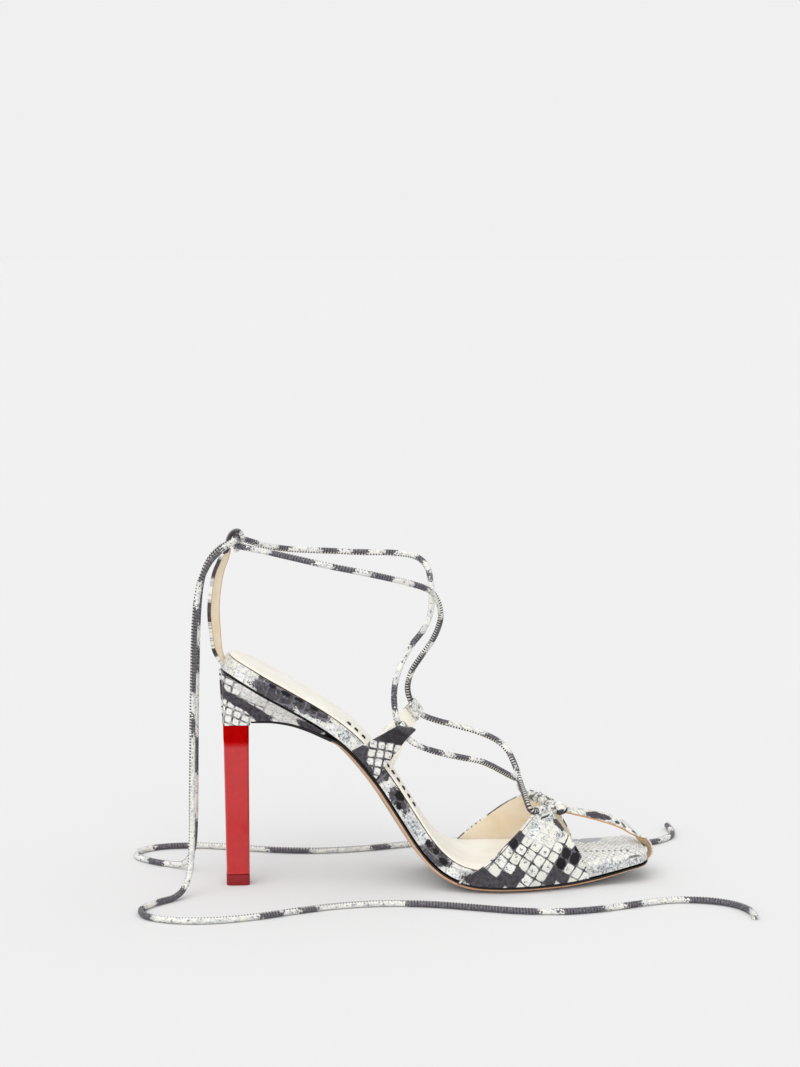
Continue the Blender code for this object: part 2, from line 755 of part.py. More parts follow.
def make_vamp():
    """Both panels, their gathered tops, the knot and the toe strap, as one joined upper."""
    vamp = panel("vamp", LATERAL_PANEL, "lateral", -1.0)
    medial = panel("vamp_medial_panel", MEDIAL_PANEL, "medial", 1.0)
    rolls = []
    for name, route in (("vamp_lateral_roll", LATERAL_ROLL), ("vamp_medial_roll", MEDIAL_ROLL)):
        rings = tube_rings(flowing(route, ROLL_STEP), ROLL_RADIUS, ROLL_SIDES)
        rolls.append(loft(name, rings, SNAKE_PRINT))
    path = flowing(TOE_STRAP, TOE_STRAP_STEP)
    grid = ribbon(path, [np.array((0.0, 1.0, 0.0))] * len(path), TOE_STRAP_WIDTH)
    outer = offset_grid(grid, STRAP_THICKNESS, (0.5, 0, 1))
    strap = shell("vamp_toe_strap", grid, outer, SNAKE_PRINT)
    unite(vamp, medial, *rolls, make_knot(), strap)


def make_tab(name, tab):
    """A tapered tab up from the rim, with a tunnel for the lace at its end."""
    side = "lateral" if tab["side"] < 0 else "medial"
    bore = CORD_DIAMETER / 2 + TUNNEL_CLEARANCE
    axis = unit(tab["tunnel_axis"])
    centre = np.array(tab["tunnel"])
    base = []
    for x in (tab["base_back_x"], tab["base_front_x"]):
        out = tab["side"] * (half_width(side, x) + SEAM_GAP)
        foot = bed(x, out, last("rim", x) - TAB_FOOT)
        base.append(np.array((foot[0], out, foot[2])))
    toward = unit(centre - (base[0] + base[1]) / 2)
    sunk = toward * (bore + TUNNEL_WALL / 2)
    end = [centre + axis * s * TUNNEL_LENGTH / 2 - sunk for s in (1, -1)]
    grid = []
    for v in np.linspace(0, 1, 7):
        back = base[0] + (end[0] - base[0]) * v
        front = base[1] + (end[1] - base[1]) * v
        bulge = np.array((0.0, tab["side"] * TAB_BULGE * math.sin(math.pi * v), 0.0))
        grid.append([back + (front - back) * u + bulge for u in np.linspace(0, 1, 4)])
    strap = shell(name, grid, offset_grid(grid, TAB_THICKNESS, (0, tab["side"], 0)), SNAKE_PRINT)
    unite(strap, pipe(name + "_tunnel", centre, axis, toward, (bore, bore), TUNNEL_LENGTH))


def make_heel_strap():
    """The flat strap up the back of the heel, twisted a little, with the lace's loop on top."""
    path, widths = [], []
    for z in np.linspace(HEEL_STRAP["z"][0], HEEL_STRAP["z"][-1], HEEL_STRAP_ROWS):
        turn = math.radians(ease(HEEL_STRAP["z"], HEEL_STRAP["twist"], z))
        path.append(np.array((ease(HEEL_STRAP["z"], HEEL_STRAP["x"], z), 0.0, z)))
        widths.append(np.array((math.sin(turn), math.cos(turn), 0.0)))
    grid = ribbon(path, widths, HEEL_STRAP_WIDTH)
    outer = offset_grid(grid, HEEL_STRAP_THICKNESS, (-1, 0, 0))
    strap = shell("heel_strap", grid, outer, SNAKE_PRINT)
    along = (0.0, 1.0, 0.0)
    loop = pipe("heel_strap_loop", HEEL_LOOP_CENTRE, along, HEEL_LOOP_UP, HEEL_LOOP_BORE, HEEL_LOOP_LENGTH)
    unite(strap, loop)


def make_lace():
    """The two cords of the lace, joined where they cross over the foot and at the ankle."""
    cords = []
    for name, route in (("lace", LACE_TO_LATERAL_TAB), ("lace_second_cord", LACE_TO_MEDIAL_TAB)):
        rings = tube_rings(flowing(route, LACE_STEP), CORD_DIAMETER / 2, CORD_SIDES)
        cords.append(loft(name, rings, LACE_LEATHER))
    unite(*cords)


def make_tie(name, route):
    """A free end of the lace: a tube along its route, at its real length."""
    curve = bpy.data.curves.new(name, "CURVE")
    curve.dimensions = "3D"
    curve.bevel_depth = CORD_DIAMETER / 2 * MM
    curve.bevel_resolution = 2
    curve.use_fill_caps = True
    points = cut_to(flowing(route, TIE_STEP), TIE_LENGTH)
    points[:, 2] = np.maximum(points[:, 2], TIE_FLOOR)
    spline = curve.splines.new("POLY")
    spline.points.add(len(points) - 1)
    for place, point in zip(spline.points, points):
        x, y, z = (point - np.array((*FLOOR_CENTRE, 0.0))) * MM
        place.co = (x, y, z, 1)
    linked(name, curve, LACE_LEATHER)


for old in list(bpy.data.objects):
    bpy.data.objects.remove(old)
ROOT = bpy.data.objects.new("sandal", None)
bpy.context.scene.collection.objects.link(ROOT)

make_sole()
make_outsole()
make_heel()
make_vamp()
make_tab("instep_tab_lateral", LATERAL_TAB)
make_tab("instep_tab_medial", MEDIAL_TAB)
make_heel_strap()
make_lace()
make_tie("tie_lateral", LATERAL_TIE)
make_tie("tie_medial", MEDIAL_TIE)
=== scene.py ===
"""Looks of the lace-up sandal: snake-print leather, rolled leather laces and a lacquered heel.

Sizes are millimetres in the last's own frame: x runs from the back of the heel to the toe,
y from the lateral side (negative) to the medial side, z up from the floor.
"""

import math

import bpy
import numpy as np
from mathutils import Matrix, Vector


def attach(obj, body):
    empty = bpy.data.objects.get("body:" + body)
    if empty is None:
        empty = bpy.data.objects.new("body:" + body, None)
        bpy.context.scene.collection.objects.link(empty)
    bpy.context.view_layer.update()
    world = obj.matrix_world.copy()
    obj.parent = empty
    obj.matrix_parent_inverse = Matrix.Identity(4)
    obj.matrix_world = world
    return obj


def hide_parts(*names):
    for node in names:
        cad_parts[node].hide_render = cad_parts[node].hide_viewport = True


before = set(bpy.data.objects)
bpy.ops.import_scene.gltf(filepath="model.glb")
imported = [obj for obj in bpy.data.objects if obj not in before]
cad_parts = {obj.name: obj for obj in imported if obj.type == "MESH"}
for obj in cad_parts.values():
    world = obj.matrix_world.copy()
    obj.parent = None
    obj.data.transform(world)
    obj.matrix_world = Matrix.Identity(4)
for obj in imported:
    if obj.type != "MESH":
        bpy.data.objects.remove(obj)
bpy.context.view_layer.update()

MM = 0.001
BODY = "root"
FLOOR_CENTRE = np.array((104.1, 1.8, 0.0))
SIDES = {"lateral": -1.0, "medial": 1.0}
LEATHER_MAP = "leather"
CREASE_MARK = "crease"
# Millimetres from a panel's back edge over which its mark runs from 0 to 1
EDGE_REACH = 8.0

# Sole
SHOE_LENGTH = 209.0
HEEL_BACK = 2.4
SEAM_GAP = 0.3
HEEL_ROUND = 24.0
HEEL_SAMPLES = 22
TOE_ROUND = 8.5
TOE_SAMPLES = 22
TOE_SQUARENESS = 3.0
EDGE_STEP = 2.4
SOCK_JOIN_X = 166.0
OUTSOLE_THICKNESS = 3.0
OUTSOLE_TOE_THICKNESS = 2.2
OUTSOLE_EDGE_RISE = 1.3
TREAD_END = 170.0
WAIST_X = 61.0
WAIST_RUN = 45.0
WAIST_INSET = 2.4

# Heel
CUP_BACK_LEAN = 1.5
CUP_FRONT_X = 50.4
CUP_HOLLOW = 1.7
CUP_FOOT = 6.4
POST_TOP = 78.8
POST_FOOT = {"back": 3.1, "front": 14.3, "half_width": 5.6}
POST_HEAD = {"back": 1.9, "front": 14.2, "half_width": 6.2}
POST_CORNER = 1.8
POST_RIM = 0.35
# The shaded band under the cup, and the run over which it fades into the glossy post
POST_HEAD_BAND = 9.2
POST_HEAD_FADE = 2.8
POST_HEAD_STEPS = 6
POST_GLOSS = 0.62
TIP_HEIGHT = 5.2
TIP_RIM = 0.3

# Straps and laces
STRAP_THICKNESS = 1.5
LEAF_THICKNESS = 1.2
TOE_STRAP_WIDTH = 7.0
TOE_STRAP_WALL = 0.8
TOE_LINING_WALL = 0.6
ROLL_RADIUS = {"lateral": 2.4, "medial": 2.6}
PLEAT_DEPTH = {"lateral": 0.08, "medial": 0.14}
HEEL_STRAP_WIDTH = 8.6
HEEL_STRAP_THICKNESS = 1.6
HEEL_STRAP_WALL = 1.9
TUNNEL_LENGTH = 7.4
TUNNEL_RADIUS = 2.8
CORD_DIAMETER = 3.0
CORD_STEP = 0.34
CORD_SIDES = 16
CORD_ROUND = math.pi * CORD_DIAMETER
STITCH_PITCH = 1.45
TIE_LENGTH = 555.0
TIE_FLOOR = 1.6


def columns(names, *table):
    """A table as one array for each named column."""
    return {name: np.array([row[i] for row in table], float) for i, name in enumerate(names)}


# Sections of the last: footbed height, rim height, half widths and the arch's lift
LAST = columns(
    ("x", "bed", "rim", "lateral", "medial", "lift"),
    (2.4, 113.9, 7.8, 24.0, 24.0, 0.0),
    (10.0, 110.8, 7.8, 24.0, 24.0, 0.0),
    (24.0, 103.0, 7.8, 24.0, 24.0, 0.0),
    (38.0, 94.8, 7.6, 23.8, 23.2, 0.0),
    (50.0, 87.4, 7.4, 23.5, 21.8, 0.2),
    (60.0, 80.0, 7.2, 23.0, 20.3, 0.8),
    (67.0, 73.5, 7.1, 22.6, 19.4, 1.2),
    (81.0, 56.3, 7.1, 22.2, 18.4, 1.5),
    (88.4, 45.0, 7.1, 22.6, 18.8, 1.2),
    (95.6, 33.4, 7.1, 23.8, 20.4, 0.7),
    (101.0, 25.2, 7.1, 25.4, 23.0, 0.3),
    (106.0, 19.2, 7.1, 26.9, 26.0, 0.0),
    (111.0, 15.0, 7.1, 28.3, 29.0, 0.0),
    (117.0, 12.0, 7.1, 30.0, 32.0, 0.0),
    (124.0, 10.6, 7.1, 31.9, 34.6, 0.0),
    (135.0, 10.2, 7.0, 33.5, 36.9, 0.0),
    (147.0, 10.1, 7.0, 32.4, 37.2, 0.0),
    (162.0, 10.2, 7.0, 28.6, 34.8, 0.0),
    (178.0, 11.0, 6.6, 23.9, 30.8, 0.0),
    (190.0, 12.2, 5.8, 20.9, 28.0, 0.0),
    (200.0, 13.5, 5.0, 18.7, 25.4, 0.0),
    (209.0, 14.7, 4.4, 17.0, 23.0, 0.0),
)

# The outsole where it runs back under the heel cup to the post
SOLE_TAIL = columns(
    ("x", "top", "thickness", "half_width"),
    (15.2, 80.6, 0.9, 5.4),
    (24.0, 80.9, 1.1, 7.2),
    (33.0, 80.1, 1.3, 9.6),
    (42.0, 77.9, 1.7, 12.6),
    (49.0, 75.5, 2.2, 15.4),
)

# Vamp panels, a row for each height: where the back and front edges stand, and how far
# out they reach as a share of the last's half width
LATERAL_PANEL = columns(
    ("back_x", "back_z", "back_reach", "front_x", "front_z", "front_reach"),
    (113.0, 4.9, 1.00, 177.8, 4.9, 1.00),
    (121.5, 11.0, 1.03, 175.0, 12.6, 1.00),
    (129.6, 17.6, 1.01, 171.2, 19.4, 0.90),
    (136.0, 23.6, 0.94, 166.8, 25.8, 0.70),
    (143.8, 29.9, 0.79, 162.8, 31.2, 0.44),
    (150.4, 35.0, 0.58, 160.8, 34.0, 0.26),
)
MEDIAL_PANEL = columns(
    ("back_x", "back_z", "back_reach", "front_x", "front_z", "front_reach"),
    (113.0, 5.0, 1.00, 179.6, 5.0, 1.00),
    (121.5, 12.6, 1.03, 177.4, 12.6, 1.00),
    (130.4, 19.6, 0.97, 174.0, 19.4, 0.88),
    (137.4, 25.6, 0.87, 170.2, 25.2, 0.66),
    (144.6, 32.4, 0.67, 165.8, 31.4, 0.40),
    (150.4, 37.4, 0.45, 162.4, 34.8, 0.17),
)

# The vamp's gathered tops, the knot between them and the toe strap's outer face
LATERAL_ROLL = ((153.2, -14.8, 36.0), (158.8, -8.6, 35.2), (164.2, -1.2, 33.8))
MEDIAL_ROLL = ((153.6, 13.8, 38.4), (159.4, 8.4, 37.2), (164.4, 1.8, 34.6))
KNOT_CENTRE = (167.0, -1.0, 34.3)
TOE_STRAP = (
    (165.0, 0.6, 33.2), (175.0, 1.2, 31.2), (186.0, 1.8, 28.6), (194.0, 2.0, 26.0), (200.6, 2.0, 22.6),
    (205.8, 2.0, 18.2), (209.8, 2.0, 15.4), (211.5, 2.0, 12.6), (211.4, 2.0, 10.2), (209.6, 2.0, 8.8),
)

# Instep tabs: their base on the rim, the tunnel at their end, the flap inside, and how loose
# the fold stands at its front
LATERAL_TAB = {
    "side": "lateral",
    "base_back_x": 67.2,
    "base_front_x": 79.2,
    "tunnel": (87.3, -25.0, 78.8),
    "tunnel_axis": (-0.58, 0.0, 0.81),
    "flap": 5.6,
    "loose": 0.95,
}
MEDIAL_TAB = {
    "side": "medial",
    "base_back_x": 75.4,
    "base_front_x": 86.8,
    "tunnel": (98.1, 25.0, 81.0),
    "tunnel_axis": (-0.63, 0.0, 0.78),
    "flap": 0.8,
    "loose": 0.0,
}

# The heel strap's inner face up the back of the heel and its turn, and the loop on top
HEEL_STRAP = columns(
    ("z", "x", "twist"),
    (107.0, 4.0, 8.0),
    (110.0, 2.2, 14.0),
    (113.0, 0.7, 20.0),
    (117.0, -0.2, 26.0),
    (124.0, -0.9, 31.0),
    (134.0, -1.5, 33.0),
    (143.0, -0.9, 33.0),
    (151.0, 0.4, 32.0),
    (157.0, 2.2, 30.0),
    (160.5, 4.0, 28.0),
    (163.8, 6.3, 24.0),
)
HEEL_LOOP_CENTRE = (8.3, 0.0, 168.2)
HEEL_LOOP_REACH = (3.45, 5.05)
HEEL_LOOP_UP = (0.35, 0.0, 1.0)

# Lace routes from the vamp's tunnels to the middle of the heel loop
LACE_TO_LATERAL_TAB = (
    (164.4, 1.8, 34.6), (159.4, 8.4, 37.2), (153.6, 13.8, 38.4), (151.2, 15.6, 39.4),
    (149.5, 15.0, 41.3), (148.4, 11.4, 43.9), (147.9, 7.0, 46.1), (147.0, 2.4, 48.2),
    (143.0, -1.2, 50.6), (136.6, -5.6, 54.8), (131.2, -9.2, 58.2), (125.9, -12.2, 60.8),
    (115.6, -17.0, 63.9), (105.5, -21.2, 67.0), (96.5, -24.2, 70.6), (90.6, -25.0, 74.2),
    (87.3, -25.0, 78.8), (84.8, -25.0, 82.9), (83.2, -24.6, 91.0), (83.4, -23.6, 100.0),
    (86.2, -20.8, 109.0), (91.8, -15.4, 118.0), (99.0, -9.2, 125.8), (102.6, -3.8, 133.4),
    (103.5, 1.4, 141.8), (103.5, 6.8, 148.0), (102.0, 14.6, 153.8), (97.2, 21.8, 157.2),
    (87.0, 28.0, 158.3), (71.8, 31.2, 158.4), (54.7, 30.0, 159.4), (37.3, 24.6, 160.9),
    (24.5, 16.8, 163.6), (15.0, 10.6, 167.0), (10.4, 6.0, 169.2), (8.9, 1.0, 169.8), (8.8, -1.0, 169.8),
)
LACE_TO_MEDIAL_TAB = (
    (164.2, -1.2, 34.0), (159.0, -8.4, 35.6), (153.2, -14.8, 36.0), (150.9, -16.9, 36.5),
    (149.3, -16.8, 38.5), (148.4, -13.2, 41.6), (147.7, -8.0, 44.6), (146.8, -1.0, 48.6),
    (145.4, 4.6, 54.6), (142.2, 10.2, 61.6), (137.2, 14.6, 66.0), (128.5, 19.0, 69.5),
    (118.0, 22.2, 72.2), (108.4, 24.4, 74.6), (101.4, 25.0, 77.3), (98.1, 25.0, 81.0),
    (95.3, 25.0, 85.1), (93.9, 24.2, 91.6), (95.6, 20.8, 100.0), (100.0, 16.4, 108.2),
    (105.4, 10.8, 117.8), (108.2, 5.0, 127.6), (107.4, 0.8, 135.0), (104.0, -3.6, 141.6),
    (98.4, -11.6, 145.8), (90.6, -18.8, 149.0), (81.4, -24.8, 152.0), (67.3, -30.2, 155.8),
    (51.0, -31.2, 159.3), (34.9, -25.8, 162.6), (23.6, -17.2, 164.4), (14.6, -11.0, 165.6),
    (9.6, -6.2, 166.4), (7.9, -1.0, 166.5), (7.8, 1.0, 166.5),
)

# Free ties: out of the heel loop and down behind the heel, then loosely along the floor at x and y
LATERAL_TIE_DROP = (
    (8.8, -1.0, 169.8), (8.8, -5.6, 169.8), (8.7, -9.4, 169.8), (6.8, -13.8, 169.0),
    (1.6, -18.4, 166.2), (-4.8, -21.6, 159.8), (-9.4, -22.8, 149.0), (-11.6, -22.6, 132.0),
    (-12.6, -21.8, 106.0), (-13.2, -21.2, 78.0), (-13.6, -21.0, 50.0), (-13.8, -21.4, 27.0),
    (-14.8, -23.2, 12.4), (-18.0, -28.0, 4.4),
)
LATERAL_TIE_LYING = (
    (-23.6, -35.0), (-32.0, -43.6), (-38.0, -55.0), (-35.0, -68.0), (-22.0, -76.6), (-4.0, -78.0),
    (15.0, -72.6), (34.0, -63.6), (54.0, -55.8), (76.0, -53.0), (98.0, -56.6), (118.0, -64.6),
    (138.0, -72.6), (158.0, -75.4), (178.0, -71.4), (196.0, -63.6), (212.0, -58.6), (228.0, -60.6),
    (240.0, -69.6), (245.0, -84.0), (243.0, -100.0), (240.0, -120.0),
)
MEDIAL_TIE_DROP = (
    (7.8, 1.0, 166.5), (7.6, 5.6, 166.5), (7.5, 9.4, 166.5), (6.0, 13.8, 165.5), (1.4, 18.2, 162.4),
    (-4.0, 21.2, 156.0), (-7.6, 22.4, 146.0), (-9.4, 22.2, 130.0), (-10.4, 21.2, 104.0),
    (-11.0, 20.4, 76.0), (-11.4, 20.2, 48.0), (-11.8, 20.8, 26.0), (-13.0, 23.0, 12.0),
    (-16.6, 28.2, 4.2),
)
MEDIAL_TIE_LYING = (
    (-23.0, 35.0), (-32.6, 42.6), (-40.4, 53.4), (-39.4, 66.6), (-27.6, 75.4), (-9.6, 76.4),
    (10.0, 70.4), (30.0, 63.0), (52.0, 59.6), (74.0, 62.4), (96.0, 69.2), (118.0, 75.2), (140.0, 76.2),
    (160.0, 71.0), (178.0, 63.0), (196.0, 58.0), (214.0, 59.4), (229.0, 67.0), (238.0, 80.0),
    (240.0, 96.0), (239.0, 120.0),
)


# Shapes of the last

# Share of a stretch between two given points of a curve, a direction that no tube starts along,
# and rounds of finding the spot of the bed above a point of its rim
FLOW_STEP = 0.05
RING_ASIDE = (0.3, 0.2, 1.0)
SETTLE_STEPS = 5


def curve(t, start, end, leave, arrive):
    """A smooth run from start to end at shares t, with the slopes that it leaves and arrives at."""
    return (
        start * (2 * t**3 - 3 * t**2 + 1)
        + end * (3 * t**2 - 2 * t**3)
        + leave * (t**3 - 2 * t**2 + t)
        + arrive * (t**3 - t**2)
    )


def ease(xs, ys, x):
    """Smooth value at x through the points, without overshoot."""
    steps = np.diff(xs)
    slopes = np.diff(ys) / steps
    tangents = np.empty(len(xs))
    tangents[0] = slopes[0]
    tangents[-1] = slopes[-1]
    product = slopes[:-1] * slopes[1:]
    total = np.where(product > 0, slopes[:-1] + slopes[1:], 1.0)
    tangents[1:-1] = np.where(product > 0, 2 * product / total, 0.0)
    x = np.clip(np.asarray(x, float), xs[0], xs[-1])
    i = np.clip(np.searchsorted(xs, x) - 1, 0, len(steps) - 1)
    t = (x - xs[i]) / steps[i]
    return curve(t, ys[i], ys[i + 1], steps[i] * tangents[i], steps[i] * tangents[i + 1])


def last(column, x):
    return ease(LAST["x"], LAST[column], x)


def half_width(side, x):
    """Half width of the footbed at x, rounded off at the heel and squared at the toe."""
    x = np.asarray(x, float)
    from_heel = np.clip((x - HEEL_BACK) / HEEL_ROUND, 0, 1)
    from_toe = np.clip((SHOE_LENGTH - x) / TOE_ROUND, 0, 1)
    heel = np.sqrt(1 - (1 - from_heel) ** 2)
    toe = (1 - (1 - from_toe) ** TOE_SQUARENESS) ** (1 / TOE_SQUARENESS)
    return last(side, x) * heel * toe


def bed_normal(x):
    small = 0.5
    rise = (last("bed", x + small) - last("bed", x - small)) / (2 * small)
    length = np.hypot(1, rise)
    return np.stack((-rise / length, np.zeros_like(rise), 1 / length), axis=-1)


def bed(x, y, depth):
    """Points of the footbed at x and y, depth below its top, with the medial arch raised."""
    x, y, depth = np.broadcast_arrays(np.asarray(x, float), y, depth)
    arch = last("lift", x) * np.maximum(y / last("medial", x), 0) ** 2
    return np.stack((x, y, last("bed", x)), axis=-1) + bed_normal(x) * (arch - depth)[..., None]


def half_width_beside(side, x, z):
    """Half width of the footbed beside a point of its rim, measured square to the bed."""
    foot = x
    for _ in range(SETTLE_STEPS):
        normal = bed_normal(foot)
        depth = np.maximum(last("bed", foot) - z, 0) / normal[..., 2]
        foot = x + depth * normal[..., 0]
    return half_width(side, foot)


def outline(side):
    """Edge of the footbed on one side, from the back of the heel round to the middle of the toe."""
    turn = np.radians(np.linspace(0, 90, HEEL_SAMPLES, endpoint=False))
    toe_start = SHOE_LENGTH - TOE_ROUND
    corner = np.radians(np.linspace(90, 0, TOE_SAMPLES))
    round_off = 2 / TOE_SQUARENESS
    straight = np.arange(HEEL_BACK + HEEL_ROUND, toe_start - EDGE_STEP / 2, EDGE_STEP)
    x = np.concatenate((
        HEEL_BACK + HEEL_ROUND * (1 - np.cos(turn)),
        straight,
        toe_start + TOE_ROUND * np.abs(np.cos(corner)) ** round_off,
    ))
    share = np.concatenate((np.sin(turn), np.ones(len(straight)), np.sin(corner) ** round_off))
    return np.stack((x, SIDES[side] * last(side, x) * share), axis=1)


def inward(edge, side):
    """Steps of one millimetre along the bed, square to the edge and into the footbed."""
    slope = bed_normal(edge[:, 0])[:, 2]
    run = np.gradient(edge, axis=0)
    run[:, 0] /= slope
    run = unit(run)
    steps = -SIDES[side] * np.stack((-run[:, 1], run[:, 0]), axis=1)
    steps[0] = (1, 0)
    steps[-1] = (-1, 0)
    steps[:, 0] *= slope
    return steps


def arc(points):
    """Distance along a run of points, from its first one."""
    steps = np.linalg.norm(np.diff(points, axis=0), axis=-1)
    return np.concatenate((np.zeros((1,) + steps.shape[1:]), np.cumsum(steps, axis=0)))


def unit(vectors):
    """Vectors along the last axis, made one long."""
    vectors = np.asarray(vectors, float)
    return vectors / np.linalg.norm(vectors, axis=-1, keepdims=True)


def headings(path):
    """Directions along a path, one at each of its points."""
    return unit(np.gradient(path, axis=0))


def round_turn(sides):
    """Angles of evenly spaced points round a ring."""
    return 2 * math.pi * np.arange(sides) / sides


def laid_out(along, across):
    """Places on the leather, in millimetres: rows along it, with points across each row."""
    return np.stack(np.broadcast_arrays(along[:, None], across), axis=-1)


def offset_grid(grid, thickness, outward):
    """The grid moved by thickness along its normals, on the side that outward points to."""
    normals = unit(np.cross(np.gradient(grid, axis=0), np.gradient(grid, axis=1)))
    facing = np.sign((normals * np.asarray(outward)).sum(axis=2).mean())
    return grid + normals * np.asarray(thickness)[..., None] * facing


def flowing(points, step):
    """Evenly spaced points along a smooth curve through the given points."""
    points = np.asarray(points, float)
    ends = np.concatenate((2 * points[:1] - points[1:2], points, 2 * points[-1:] - points[-2:-1]))
    fine = []
    t = np.arange(0, 1, FLOW_STEP)[:, None]
    for a, b, c, d in zip(ends, ends[1:], ends[2:], ends[3:]):
        spread = [math.sqrt(np.linalg.norm(q - p)) for p, q in ((a, b), (b, c), (c, d))]
        out = (c - a) / (spread[0] + spread[1]) * spread[1]
        into = (d - b) / (spread[1] + spread[2]) * spread[1]
        fine.append(curve(t, b, c, out, into))
    fine = np.concatenate(fine + [points[-1:]])
    run = arc(fine)
    places = np.linspace(0, run[-1], max(round(run[-1] / step), 2) + 1)
    return np.stack([np.interp(places, run, fine[:, k]) for k in range(3)], axis=1)


def rows_between(lines, step):
    """More lines of points between the given ones, eased along the run of their middle points."""
    lines = np.asarray(lines, float)
    run = arc(lines[:, lines.shape[1] // 2])
    places = np.linspace(0, run[-1], round(run[-1] / step) + 1)
    flat = lines.reshape(len(lines), -1)
    eased = np.stack([ease(run, flat[:, k], places) for k in range(flat.shape[1])], axis=1)
    return eased.reshape(len(places), *lines.shape[1:])


def tube_rings(path, radius, sides):
    """Rings along a path, kept from twisting. radius is a number or an array of rows by sides."""
    tangents = headings(path)
    beside = unit(np.cross(tangents[0], RING_ASIDE))
    angles = round_turn(sides)
    radius = np.broadcast_to(radius, (len(path), sides))
    rings = np.empty((len(path), sides, 3))
    for i, (point, tangent) in enumerate(zip(path, tangents)):
        beside = unit(beside - tangent * (beside @ tangent))
        over = np.cross(tangent, beside)
        spread = np.cos(angles)[:, None] * beside + np.sin(angles)[:, None] * over
        rings[i] = point + radius[i][:, None] * spread
    return rings


# Making of pieces

WELD = 0.02
WALL_EDGE = {"segments": 3, "limit_method": "ANGLE", "angle_limit": math.radians(50)}


def choose(piece):
    bpy.ops.object.select_all(action="DESELECT")
    piece.select_set(True)
    bpy.context.view_layer.objects.active = piece


def in_edit(piece, *steps):
    """Runs edit-mode steps on all of a piece."""
    choose(piece)
    bpy.ops.object.mode_set(mode="EDIT")
    bpy.ops.mesh.select_all(action="SELECT")
    for step in steps:
        step()
    bpy.ops.object.mode_set(mode="OBJECT")


def weld():
    bpy.ops.mesh.remove_doubles(threshold=WELD * MM)


def face_out():
    bpy.ops.mesh.normals_make_consistent(inside=False)


def fill_ends():
    bpy.ops.mesh.fill_holes(sides=0)
    bpy.ops.mesh.select_all(action="SELECT")


def named(piece, name):
    piece.name = name
    piece.data.name = name
    return piece


def added(name, add, **settings):
    """A new primitive under its own name."""
    bpy.ops.object.select_all(action="DESELECT")
    add(**settings)
    return named(bpy.context.object, name)


def put(piece, points, leather=None):
    """Moves a piece's points to places of the last's frame, and lays its faces out on the leather."""
    mesh = piece.data
    mesh.vertices.foreach_set("co", ((points - FLOOR_CENTRE) * MM).reshape(-1).astype(np.float32))
    if leather is not None:
        corners = np.empty(len(mesh.loops), np.int32)
        mesh.loops.foreach_get("vertex_index", corners)
        layer = mesh.uv_layers[0]
        layer.name = LEATHER_MAP
        layer.data.foreach_set("uv", leather.reshape(-1, 2)[corners].reshape(-1).astype(np.float32))
    mesh.update()


def mark_creases(piece, depth):
    """Notes how deep in a crease each point lies, from 0 to 1."""
    layer = piece.data.attributes.new(CREASE_MARK, "FLOAT", "POINT")
    layer.data.foreach_set("value", np.clip(depth, 0, 1).reshape(-1).astype(np.float32))


def shaped_grid(name, points, leather, creases=None, finish_of=None):
    """A grid of faces shaped to rows of points, with its place on the leather in millimetres."""
    lines, cols = points.shape[:2]
    piece = added(
        name, bpy.ops.mesh.primitive_grid_add, x_subdivisions=cols - 1, y_subdivisions=lines - 1, size=1
    )
    put(piece, points, leather)
    if creases is not None:
        mark_creases(piece, creases)
    if finish_of is not None:
        for face in piece.data.polygons:
            face.material_index = finish_of(*divmod(face.index, cols - 1))
    return piece


def ringed(name, rings, leather, capped=False, creases=None, finish_of=None, finishes=()):
    """A closed piece through rings of points."""
    points = np.concatenate((rings, rings[:, :1]), axis=1)
    if leather.shape[1] == rings.shape[1]:
        leather = np.concatenate((leather, leather[:, :1]), axis=1)
    if creases is not None:
        creases = np.concatenate((creases, creases[:, :1]), axis=1)
    piece = shaped_grid(name, points, leather, creases, finish_of)
    dress(piece, *finishes)
    in_edit(piece, weld, *([fill_ends] if capped else []), face_out)
    return piece


def give(piece, kind, **settings):
    """Adds a modifier and applies it."""
    choose(piece)
    modifier = piece.modifiers.new(kind.lower(), kind)
    for key, value in settings.items():
        setattr(modifier, key, value)
    bpy.ops.object.modifier_apply(modifier=modifier.name)


def dress(piece, *finishes):
    for finish in finishes:
        piece.data.materials.append(finish)


def walled(piece, thickness, edge_round, outside, lining, cut_edge):
    """Gives a sheet its wall, inwards from the face that it shows, with a lining and cut edges."""
    dress(piece, outside, lining, cut_edge)
    give(
        piece, "SOLIDIFY", thickness=thickness * MM, offset=-1.0,
        material_offset=1, material_offset_rim=2,
    )
    give(piece, "BEVEL", width=edge_round * MM, **WALL_EDGE)
    smooth(piece, 45)
    return piece


def smooth(piece, degrees=40):
    choose(piece)
    bpy.ops.object.shade_smooth_by_angle(angle=math.radians(degrees))


def finished(piece, slot, *nodes):
    """Attaches a piece to the body, and hides the nodes that it stands for."""
    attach(piece, BODY)
    if nodes:
        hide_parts(*nodes)


def place(point):
    """A point of the last's frame in metres of the row frame."""
    return tuple((np.asarray(point, float) - FLOOR_CENTRE) * MM)


# Finishes


def tone(code):
    """A colour written as in a picture, in linear light."""
    parts = [int(code[i:i + 2], 16) / 255 for i in (1, 3, 5)]
    return tuple(c / 12.92 if c <= 0.04045 else ((c + 0.055) / 1.055) ** 2.4 for c in parts) + (1.0,)


